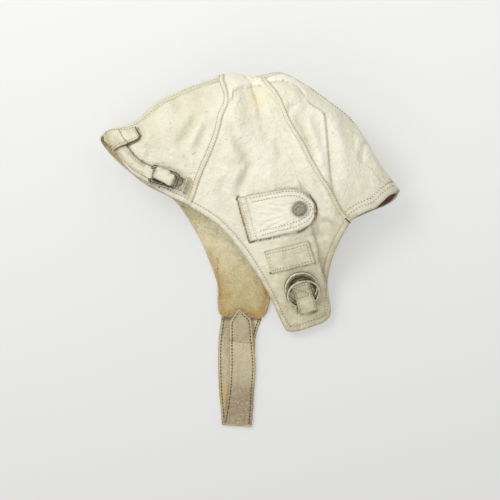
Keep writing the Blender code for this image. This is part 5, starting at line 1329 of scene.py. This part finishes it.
def wire_piece(name, path, radius, finish, up, closed=False):
    """A round wire along a path, closed or with domed ends: painted shade round it, and a painted highlight
    facing up.
    """
    path = np.asarray(path, float)
    count, sides = len(path), WIRE_SIDES
    direction = unit(np.roll(path, -1, 0) - np.roll(path, 1, 0) if closed else np.gradient(path, axis=0))
    points, faces = [], []
    first = np.asarray(up, float)
    for p, d in zip(path, direction):
        first = unit(first - d * np.dot(first, d))
        second = np.cross(d, first)
        for angle in (math.tau * k / sides for k in range(sides)):
            points.append(p + (first * math.cos(angle) + second * math.sin(angle)) * radius)
    for k in range(count if closed else count - 1):
        m = (k + 1) % count
        for j in range(sides):
            q = (j + 1) % sides
            faces.append((k * sides + j, m * sides + j, m * sides + q, k * sides + q))
    for end, step in () if closed else ((0, -direction[0]), (count - 1, direction[-1])):
        last = end * sides
        for share in WIRE_END_STEPS:
            ring = len(points)
            for j in range(sides):
                out = (points[end * sides + j] - path[end]) * math.sqrt(1 - share**2)
                points.append(path[end] + out + step * radius * share)
                faces.append((last + j, last + (j + 1) % sides, ring + (j + 1) % sides, ring + j))
            last = ring
        points.append(path[end] + step * radius)
        faces += [(last + j, last + (j + 1) % sides, len(points) - 1) for j in range(sides)]
    shade = np.zeros(len(points))
    # Painted shade round the wire, leaving a painted highlight along the side that faces up.
    shade[:count * sides] = np.tile(1 - ramp(np.cos(math.tau * np.arange(sides) / sides), 0.4, 0.96), count)
    return new_piece(name, points, faces, (finish,), None, {"tarnish": shade})


for node, body in (("ring_lower", "lower_ring"), ("ring_upper", "upper_ring")):
    points = cad_points(node)
    middle, normal = flat_frame(points, UP)
    radial = points - middle
    inner = np.linalg.norm(radial - np.outer(radial @ normal, normal), axis=1).min()
    radius = (np.linalg.norm(radial, axis=1).max() + inner) / 2
    x_axis = unit(np.cross(normal, (0, 1.0, 0)))
    y_axis = np.cross(normal, x_axis)
    around = np.linspace(0, math.tau, 97)[:-1, None]
    path = middle + radius * (np.cos(around) * x_axis + np.sin(around) * y_axis)
    stands_for(node, body, wire_piece(node + "_wire", path, RING_WIRE, ring_metal, normal, True))

# The chin strap is a long strip of browner leather sewn under the far flap. It hangs down, turns back on
# itself at a soft bend, and its pointed end lies over it again. Dark stitches run close to both edges.
STRAP_LEFT_SHARES = ((407, 47), (399, -27), (396, -102), (399, -215), (404, -289), (409, -359))
STRAP_RIGHT_SHARES = ((539, 47), (525, 0), (517, -51), (517, -176), (510, -289), (505, -367))
ROOT_LEFT_SHARES = ((418, 121), (408, 51))
ROOT_RIGHT_SHARES = ((532, 121), (539, 51))
END_LEFT_SHARES = ((412, -359), (423, -289), (431, -215), (434, -141), (434, -55), (434, 27), (448, 57),
                   (461, 82))
END_RIGHT_SHARES = ((506, -367), (510, -309), (513, -238), (519, -141), (513, -55), (507, 35), (487, 62),
                    (470, 82))
STRAP_COLS = 36
STRAP_ROWS = 150
END_ROWS = 190
STRAP_THICK = 0.0017
STRAP_BEND_CLEAR = 0.0006
STRAP_END_START = STRAP_THICK + STRAP_BEND_CLEAR
STRAP_END_RISE = 0.0125
STRAP_ROW, END_ROW = 0.0019, 0.0021
STRAP_PITCH, STRAP_STITCH = 0.0029, 0.0020
STRAP_RUN = 0.105
# Creases across the strap's end as shares of its length from the bend, half width and height.
STRAP_CREASES = ((0.70, 0.0010, -0.0005), (0.685, 0.0012, 0.0004), (0.30, 0.0014, -0.0005),
                 (0.20, 0.0012, -0.0006), (0.17, 0.0014, 0.0004), (0.12, 0.0011, -0.0006),
                 (0.09, 0.0012, 0.0004), (0.055, 0.0010, -0.0006), (0.38, 0.0016, -0.0004))
strap_leather = Finish("strap_leather", Roughness=0.62)
strap_leather.ground((0.54, 0.485, 0.315), (0.43, 0.375, 0.235), 45.0, 5.0, 0.65, 0.3, 0.7)
# Paler where the mesh carries painted light and pale bands, darker in the creases and towards the bend, and
# dark with dirt and painted shade.
strap_leather.lay(strap_leather.painted("crown"), (0.74, 0.66, 0.42))
strap_leather.lay(strap_leather.painted("handled"), (0.52, 0.36, 0.13))
strap_leather.lay(strap_leather.patchy("hollow", 60.0, 4.0, 0.6, 0.0, 0.5), (0.30, 0.22, 0.135))
strap_leather.lay(strap_leather.patchy("hollow", 430.0, 4.0, 0.65, 0.52, 0.66), (0.50, 0.41, 0.27))
strap_leather.lay(strap_leather.patchy("grime", 240.0, 3.0, 0.6, 0.2, 0.7), (0.17, 0.115, 0.06))
strap_leather.lay(strap_leather.noise(420.0, 3.0, 0.6, 0.66, 0.78), (0.22, 0.16, 0.09))
strap_leather.dress((strap_leather.cells(900.0), 0.00016), (strap_leather.noise(380.0, 4.0, 0.6), 0.00045),
                    (strap_leather.noise(110.0, 3.0), 0.0009), gloss=(110.0, 0.5, 0.75))


def strap_grid(left, right, rows, cols, heights):
    flat = between(spot(left), spot(right), rows, cols)
    z = np.broadcast_to(np.asarray(heights, float)[..., None], flat.shape[:2])
    return np.concatenate([flat, z[..., None]], -1)


def edge_wear(grid, line, sunk, rounded):
    """Distance from the strap's sides, the dirt there, and how far stitches and rim are pulled down."""
    edge = np.minimum(*(np.linalg.norm(grid - side, axis=-1) for side in (grid[:, :1], grid[:, -1:])))
    dirt = 0.5 * bell(edge, 0.0007) + 0.6 * bell(edge - line, 0.0005)
    return edge, dirt, sunk * bell(edge - line, 0.0006) + rounded * bell(edge, 0.0008)


def side_rows(grid, inside, lift):
    """The two lines of stitches along a strap's sides."""
    rows = []
    for side in (0, -1):
        picked = [row[np.abs(np.linalg.norm(row - row[side], axis=1) - inside).argmin()] for row in grid]
        rows.append(np.array(picked) + UP * lift)
    return rows


root = strap_grid(ROOT_LEFT_SHARES, ROOT_RIGHT_SHARES, 12, 20, 0.0)
root_top = cad_points("chin_strap_root")[:, 2].max()
values = worn(np.ones(root.shape[:2]))
# Painted shadow: the whole root is darkened, where it lies under the far flap's edge.
values["grime"] += 1.0
up = np.broadcast_to(UP, root.shape)
face = root + UP * root_top
piece = leather_sheet("chin_strap_root_skin", face, up, root_top * 0.96, (strap_leather,), values)
stands_for("chin_strap_root", "far_flap", piece)

under = strap_grid(STRAP_LEFT_SHARES, STRAP_RIGHT_SHARES, STRAP_ROWS, STRAP_COLS, STRAP_THICK)
fold_left, fold_right = spot(STRAP_LEFT_SHARES[-1]), spot(STRAP_RIGHT_SHARES[-1])
fold_along = unit(fold_right - fold_left)
fold_out = np.array((fold_along[1], -fold_along[0]))
fold_out *= -1 if fold_out[1] > 0 else 1
bend_inner = STRAP_BEND_CLEAR / 2
bend, bend_normals = [], []
for angle in np.radians(np.arange(15, 181, 15)):
    push = fold_out * bend_inner * math.sin(angle)
    height = STRAP_THICK + bend_inner - bend_inner * math.cos(angle)
    across = np.linspace(fold_left, fold_right, STRAP_COLS) + push
    bend.append([(*place, height) for place in across])
    bend_normals.append([(*(-fold_out * math.sin(angle)), math.cos(angle))] * STRAP_COLS)
inner_face = np.concatenate([under, np.array(bend)])
normal = np.concatenate([np.broadcast_to(UP, under.shape), np.array(bend_normals)])
edge, dirt, dip = edge_wear(inner_face, STRAP_ROW, 0.00022, 0.0003)
wave = 0.0002 * cloud(inner_face, 60.0, 3.0)
wave[140:] = 0
dip[148:] = 0
inner_face = inner_face + normal * (wave - dip)[..., None]
across = np.linspace(0, 1, STRAP_COLS)
down = np.linspace(0, 1, len(inner_face))[:, None]
values = worn(edge)
# Painted shadow across the strap's top, where the far flap's edge lies over it.
values["grime"] = dirt + bell(down, 0.018)
golden = bell(down - 0.68, 0.11) * (1 - ramp(across, 0.1, 0.6))
values["handled"] = np.clip(0.85 * golden + 0.25 * bell(edge, 0.0012), 0, 1)
# Painted light: the strap's right side is made paler where the tail's shadow falls on it; a pale band also runs
# inside its edges.
pale = np.clip(ramp(across, 0.72, 0.9) + 0.5 * bell(edge - 0.0008, 0.0006), 0, 1)
values["crown"] = pale * (1 - values["handled"])
values["hollow"] = 0.35 * ramp(down, 0.75, 1.0) * np.ones(STRAP_COLS)
thick = STRAP_THICK - 0.0001 + (wave - dip)
piece = leather_sheet("chin_strap_skin", inner_face, normal, thick, (strap_leather,), values)
stands_for("chin_strap", "strap", piece)
rows = side_rows(under[4:140], STRAP_ROW, 0.00005)
stitches("chin_strap_stitches", "strap", rows, dark_thread, STRAP_PITCH, STRAP_STITCH, 0.00046)

share = np.linspace(0, 1, END_ROWS)
low = STRAP_END_START + (STRAP_END_RISE - STRAP_END_START) * np.clip((share - 0.45) / 0.55, 0, 1) ** 1.6
tail = strap_grid(END_LEFT_SHARES, END_RIGHT_SHARES, END_ROWS, STRAP_COLS, low + STRAP_THICK)
normal = grid_normals(tail, UP)
edge, dirt, dip = edge_wear(tail, END_ROW, 0.00026, 0.00035)
slope = 0.002 * np.linspace(-1, 1, STRAP_COLS)
share = share[:, None]
torn = 0.04 * cloud(tail, 90.0, 3.0)
wave = 0.00025 * cloud(tail, 55.0, 21.0)
for place, width, tall in STRAP_CREASES:
    away = (share - place) * STRAP_RUN + slope + 0.0012 * cloud(tail, 70.0, place * 50)
    wave = wave + tall * bell(away, width)
wave += 0.0005 * cloud(tail, 240.0, 8.0) * (1 - ramp(share + torn, 0.28, 0.40))
wave[:6] = 0
tail_face = tail + normal * (wave - dip)[..., None]
crease = (share - 0.70) * STRAP_RUN + slope + 0.0012 * cloud(tail, 70.0, 35.0)
values = worn(edge)
# Along the first crease runs a line of painted shade, with a paler band beside it.
values["grime"] = dirt + 0.8 * bell(crease, 0.0004)
values["handled"] = 0.3 * bell(edge, 0.0011)
values["crown"] = 0.6 * bell(edge - 0.0009, 0.0007) * (0.4 + 0.6 * (1 - ramp(1 - share, 0.5, 0.9)))
values["crown"] += 0.25 * ramp(-crease, 0.0, 0.0006) * (1 - ramp(-crease, 0.006, 0.024))
values["hollow"] = 0.15 * ramp(crease, -0.0004, 0.0004) + 0.9 * ramp(1 - share + torn, 0.58, 0.72)
thick = STRAP_THICK - 0.0001 + (wave - dip)
piece = leather_sheet("chin_strap_end_skin", tail_face, normal, thick, (strap_leather,), values)
stands_for("chin_strap_end", "strap_tail", piece)
rows = side_rows(tail_face[3:-9], END_ROW, 0.00012)
stitches("chin_strap_end_stitches", "strap_tail", rows, dark_thread, STRAP_PITCH, STRAP_STITCH, 0.00052)

# The nape strap draws the cap in at the back: a narrow double strip that comes out from under a keeper, runs
# through a wire buckle and ends in a crimped metal tip.
NAPE_PATH_SHARES = ((61, 727), (81, 703), (104, 670), (131, 643), (165, 621), (199, 605), (232, 590),
                    (263, 576), (283, 568))
NAPE_STRAP_WIDTH = 0.0102
NAPE_STRAP_LIFT = 0.0022
NAPE_STRAP_THICK = 0.0014
NAPE_LEAST = 0.030
path = polyline(spot(NAPE_PATH_SHARES), 150)
tangent = unit(np.gradient(path, axis=0))
sideways = np.stack([-tangent[:, 1], tangent[:, 0]], 1)
across = np.linspace(-0.5, 0.5, 20)
flat = path[:, None] + sideways[:, None] * across[:, None] * NAPE_STRAP_WIDTH
nape_on, n = dropped(flat, True, NAPE_LEAST, smooth=24)
edge = np.broadcast_to(NAPE_STRAP_WIDTH * (0.5 - np.abs(across)), nape_on.shape[:2])
height = NAPE_STRAP_LIFT - 0.0003 * bell(edge, 0.0008) - 0.0002 * bell(edge - 0.0019, 0.0005)
face = nape_on + n * (height + 0.0002 * cloud(nape_on, 160.0, 2.0))[..., None]
values = worn(edge, 0.25, 0.9)
values["grime"] += 0.25 * bell(edge, 0.0005) + 0.5 * bell(edge - 0.0026, 0.0004)
values["grime"] += 0.12 * np.clip(cloud(nape_on, 420.0, 5.0), 0, 1) * ramp(edge, 0.0024, 0.0034)
values["stain"] = 1.4 * np.clip(cloud(nape_on, 300.0, 11.0), 0, 1) * ramp(edge, 0.0022, 0.0032)
piece = leather_sheet("nape_strap_skin", face, n, NAPE_STRAP_THICK, (leather,), values)
stands_for("nape_strap", "shell", piece)
rows = [face[4:-4, c] + n[4:-4, c] * STITCH_LIFT for c in (3, -4)]
stitches("nape_strap_stitches", "shell", rows, pitch=0.0022, length=0.0014, radius=0.00024)

# The keeper is a short wide strip sewn across the back of the neck. The strap slides under it.
KEEPER_LEFT_SHARES = ((15, 767), (40, 778), (63, 781), (90, 782), (120, 791))
KEEPER_RIGHT_SHARES = ((58, 709), (75, 719), (103, 729), (128, 742), (137, 756))
KEEPER_STEP = 0.50
KEEPER_THICK = 0.0016
flat = between(spot(KEEPER_LEFT_SHARES), spot(KEEPER_RIGHT_SHARES), 80, 46)
on, n = dropped(flat, True, NAPE_LEAST, smooth=20)
edge = rim_distance(on)
across, along = np.linspace(0, 1, 46)[None], np.linspace(0, 1, 80)[:, None]
step_at = along - KEEPER_STEP - 0.08 * (across - 0.5)
lift = 0.0022 + 0.0026 * np.clip(across * 2.2, 0, 1) * np.clip((1 - along) * 3.2, 0, 1)
lift = smooth_grid(lift, 6) - 0.0009 * ramp(step_at, -0.012, 0.012)
lift = lift - 0.0005 * bell(edge, 0.0009) - 0.0002 * bell(edge - 0.0026, 0.0005)
lift = lift + 0.0004 * cloud(on, 110.0, 14.0)
face = on + n * lift[..., None]
values = worn(edge, 0.8, 0.9)
values["handled"] *= 0.55 + 0.45 * (1 - ramp(step_at, -0.1, 0.02))
# Painted shadow along the keeper's step and along its lower and right edges.
values["grime"] += 1.3 * bell(step_at, 0.012) + 0.9 * bell(edge, 0.0005) * ramp(across + along, 0.7, 1.1)
piece = leather_sheet("nape_keeper_skin", face, n, KEEPER_THICK, (leather,), values)
stands_for("nape_keeper", "shell", piece)
rows = [face[4, 5:-5], face[8, 5:-5], face[-6, 5:-5], face[6:-6, 5], face[8:-6, -8]]
stitches("nape_keeper_stitches", "shell", [row + UP * 0.00015 for row in rows])

# The buckle is a bent wire frame with a cross bar and a loose bail, all nickel plated. A leather layer covers
# most of it, and the strap's own end is wrapped round the rear bar. Places on it are along it, up from it and
# across.
FRAME_LENGTH = 0.0236
FRAME_WIDTH = 0.0156
FRAME_WIRE = 0.0010
FRAME_SHOWN = 0.00125
FRAME_CORNER = 0.003
FRAME_SKEW = (0.0016, 0.0020)
BAR_WIRE = 0.0008
BAIL_LENGTH = 0.0038
BAIL_WIRE = 0.0009
BAIL_GAP = 0.0005
BAIL_PATH = ((0, 1), (0.55, 0.98), (0.95, 0.75), (1.05, 0.35), (0.95, -0.1), (0.65, -0.55),
             (0.3, -0.85), (0, -1))
KNOB_WIRE = 0.0009
KNOB_PLACE = -0.0012
KNOB_STEPS = (0.0025, 0.0033, 0.0041)
PLATE_BACK = ((-0.0092, -0.0066), (-0.0080, -0.0072), (0.0035, -0.0068))
PLATE_TEETH, PLATE_TOOTH = -0.0046, 0.0006
PLATE_TOP, PLATE_LOW = -0.0002, -0.0007
buckle_middle, buckle_n = flat_frame(cad_points("buckle_frame"), UP)
bar_points = cad_points("buckle_bar")
buckle_s = np.linalg.svd(bar_points - bar_points.mean(0))[2][0]
buckle_s = unit(buckle_s - buckle_n * np.dot(buckle_s, buckle_n))
buckle_a = np.cross(buckle_s, buckle_n)
if buckle_a[0] < 0:
    buckle_a, buckle_s = -buckle_a, -buckle_s
buckle_metal = nickel_plate("buckle_nickel", 0.4, (0.44, 0.40, 0.29), (0.22, 0.19, 0.13), (380.0, 4.0),
                            (0.03, 0.024, 0.014), (0.06, 0.05, 0.03), (900.0, 0.55, 0.7), (700.0, 0.3, 0.5),
                            (1500.0, 0.00006))


def on_buckle(a, h, s):
    return buckle_middle + buckle_a * a + buckle_n * h + buckle_s * s


def round_box(length, width, corner, steps=8):
    outline = []
    for cx, cy, first in ((1, 1, 0), (-1, 1, 90), (-1, -1, 180), (1, -1, 270)):
        for angle in (math.radians(first + 90 * k / steps) for k in range(steps + 1)):
            outline.append((cx * (length / 2 - corner) + corner * math.cos(angle),
                            cy * (width / 2 - corner) + corner * math.sin(angle)))
    return outline


def buckle_wire(name, path, radius, closed=False):
    return wire_piece(name, path, radius, buckle_metal, buckle_n, closed)


frame_path = []
for a, s in round_box(FRAME_LENGTH, FRAME_WIDTH, FRAME_CORNER):
    back, left, right = 0.5 - a / FRAME_LENGTH, max(0, -2 * s / FRAME_WIDTH), max(0, 2 * s / FRAME_WIDTH)
    frame_path.append(on_buckle(a + FRAME_SKEW[0] * (1 - back) * right, 0, s - FRAME_SKEW[1] * back * left))
stands_for("buckle_frame", "buckle", buckle_wire("buckle_frame_wire", frame_path, FRAME_SHOWN, True))
reach = FRAME_WIDTH / 2 - FRAME_WIRE
bar_path = [on_buckle(0, 0, s) for s in np.linspace(-reach, reach, 12)]
stands_for("buckle_bar", "buckle", buckle_wire("buckle_bar_wire", bar_path, BAR_WIRE))
knob = buckle_wire("buckle_knob", [on_buckle(KNOB_PLACE, 0, -reach - step) for step in KNOB_STEPS], KNOB_WIRE)
# A dark toothed plate fills the gap below the cover, standing in for the shade there, with painted glints on
# its teeth.
teeth = [(a, PLATE_TEETH + PLATE_TOOTH * (k % 2)) for k, a in enumerate(np.linspace(0.0035, -0.0092, 16))]
size = len(PLATE_BACK) + len(teeth)
plate_points = [on_buckle(a, h, s) for h in (PLATE_TOP, PLATE_LOW) for a, s in (*PLATE_BACK, *teeth)]
plate_faces = [tuple(range(size)), tuple(range(2 * size - 1, size - 1, -1))]
plate_faces += [(k, (k + 1) % size, size + (k + 1) % size, size + k) for k in range(size)]
plate_shade = ([1.0] * len(PLATE_BACK) + [0.85 - 0.75 * (k % 2) for k in range(len(teeth))]) * 2
plate = new_piece("buckle_teeth", plate_points, plate_faces, (buckle_metal,), None, {"tarnish": plate_shade})
plate.data.polygons.foreach_set("use_smooth", [False] * len(plate.data.polygons))
for piece in (knob, plate):
    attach(piece, "buckle")
half_frame = FRAME_LENGTH / 2
bail_start, bail_side = half_frame + FRAME_WIRE + BAIL_GAP, FRAME_WIDTH / 2 - FRAME_CORNER
bail_curve = polyline([(bail_start + BAIL_LENGTH * a, bail_side * s) for a, s in BAIL_PATH], 48)
bail = buckle_wire("buckle_bail_wire", [on_buckle(a, 0, s) for a, s in bail_curve], BAIL_WIRE)
stands_for("buckle_bail", "bail", bail)

# The loop that holds the buckle is a scrap of the strap's leather round the rear bar. It keeps its solid's
# form, a little wider, with its edges rounded.
LOOP_WIDEN = 0.3
LOOP_VALUES = {"handled": 0.2, "grime": 0.15, "stain": 0.0}
loop_node = bpy.data.objects["strap_loop"]
mesh = loop_node.data.copy()
mesh.transform(loop_node.matrix_world)
mesh.name = "strap_loop_skin"
points = np.array([tuple(v.co) for v in mesh.vertices])
points += ((points - buckle_middle) @ buckle_s)[:, None] * buckle_s * LOOP_WIDEN
mesh.vertices.foreach_set("co", points.reshape(-1))
mesh.materials.clear()
mesh.materials.append(leather.material)
for key, value in LOOP_VALUES.items():
    layer = mesh.attributes.new(key, "FLOAT", "POINT")
    layer.data.foreach_set("value", np.full(len(mesh.vertices), value, np.float32))
loop = bpy.data.objects.new("strap_loop_skin", mesh)
scene.collection.objects.link(loop)
rounding = loop.modifiers.new("rounding", "BEVEL")
rounding.width = 0.0003
rounding.segments = 3
rounding.limit_method = "ANGLE"
rounding.angle_limit = math.radians(28)
plain_mesh(loop).set_sharp_from_angle(angle=math.radians(40))
stands_for("strap_loop", "shell", loop)

# The buckle's cover is a sleeve of the same leather over the frame, with rounded corners. Its rows have a
# place along the frame from its rear end, and a height.
COVER_ROWS = ((0.0034, 0.0021), (0.0045, 0.0019), (0.0065, 0.0017), (0.0118, 0.0015), (0.0190, 0.0014),
              (0.0212, 0.0011))
COVER_NEAR, COVER_FAR = -0.0046, 0.0094
COVER_TAPER = 0.0024
COVER_LEAN = 0.0011
COVER_TILT = 0.0011
COVER_THICK = 0.0012
COVER_SHEET = 0.0011
COVER_ROUND = 0.0018
cover_curve = polyline([(a - half_frame, h) for a, h in COVER_ROWS], 60)
cover_start, cover_end = cover_curve[0, 0], cover_curve[-1, 0]
cover_grid = []
for a, h in cover_curve:
    end = np.clip(COVER_ROUND - min(a - cover_start, cover_end - a), 0, COVER_ROUND)
    inset = COVER_ROUND - math.sqrt(COVER_ROUND**2 - end**2)
    share = (a - cover_start) / (cover_end - cover_start)
    near_side = COVER_NEAR + COVER_TAPER * (1 - share) + inset
    far_side = COVER_FAR - COVER_TAPER * float(ramp(a, 0.0026, 0.0050)) - inset
    cover_grid.append([
        on_buckle(a + lean, h + COVER_THICK - COVER_TILT * float(ramp(s, 0.0066, 0.0094)), s)
        for s, lean in zip(np.linspace(near_side, far_side, 44), COVER_LEAN * np.linspace(-0.5, 0.5, 44))
    ])
cover_grid = np.array(cover_grid)
n = grid_normals(cover_grid, buckle_n)
edge = rim_distance(cover_grid)
lift = 0.00025 * cloud(cover_grid, 260.0, 3.0) - 0.0004 * bell(edge, 0.0008)
lift = lift - 0.0002 * bell(edge - 0.0019, 0.0005)
values = worn(edge, 0.12, 0.7)
values["grime"] += 0.5 * bell(edge - 0.0017, 0.0003)
face = cover_grid + n * lift[..., None]
piece = leather_sheet("buckle_cover_skin", face, n, COVER_SHEET, (leather,), values)
stands_for("buckle_cover", "buckle", piece)

# The strap's tip is a folded sheet of the same nickel, crimped on with ridges across.
TIP_RIDGES = 3
TIP_RIDGE_HEIGHT = 0.00035
TIP_ROWS, TIP_COLS = 46, 60
tip_metal = nickel_plate("tip_nickel", 0.4, (0.95, 0.91, 0.74), (0.70, 0.66, 0.52), (380.0, 4.0),
                         (0.10, 0.085, 0.055), (0.16, 0.13, 0.08), (900.0, 0.6, 0.72), (700.0, 0.35, 0.55),
                         (1500.0, 0.00006))
tip_points = cad_points("strap_tip")
tip_middle = tip_points.mean(0)
tip_s = np.linalg.svd(tip_points - tip_middle)[2][0]
tip_a = nape_on[-1].mean(0) - nape_on[-4].mean(0)
tip_a = unit(tip_a - tip_s * np.dot(tip_a, tip_s))
tip_n = np.cross(tip_a, tip_s)
tip_n *= -1 if tip_n[2] < 0 else 1
local = (tip_points - tip_middle) @ np.stack([tip_a, tip_s, tip_n], 1)
low, high = local.min(0), local.max(0)
along = np.linspace(low[0] + 0.0006, high[0] - 0.0003, TIP_ROWS)[:, None, None]
across = np.linspace(low[1], high[1], TIP_COLS)[:, None]
ridge = TIP_RIDGE_HEIGHT * np.cos(math.tau * TIP_RIDGES * np.linspace(0, 1, TIP_ROWS)) + 0.0001
side_round = 0.0006 * np.linspace(-1, 1, TIP_COLS) ** 8
end_round = 0.0009 * np.clip(np.linspace(-1, 1, TIP_ROWS), 0, 1) ** 4
height = high[2] - 0.0005 + (ridge - end_round)[:, None, None] - side_round[:, None]
tip_grid = tip_middle + tip_a * along + tip_s * across + tip_n * height
# The grooves between the ridges are painted dark: tarnish, and painted shade.
values = {"tarnish": np.repeat(0.75 * ramp(-ridge, -0.0001, 0.0002)[:, None], TIP_COLS, 1)}
up = np.broadcast_to(tip_n, tip_grid.shape)
piece = leather_sheet("strap_tip_crimp", tip_grid, up, (high[2] - low[2]) * 0.85, (tip_metal,), values)
stands_for("strap_tip", "shell", piece)
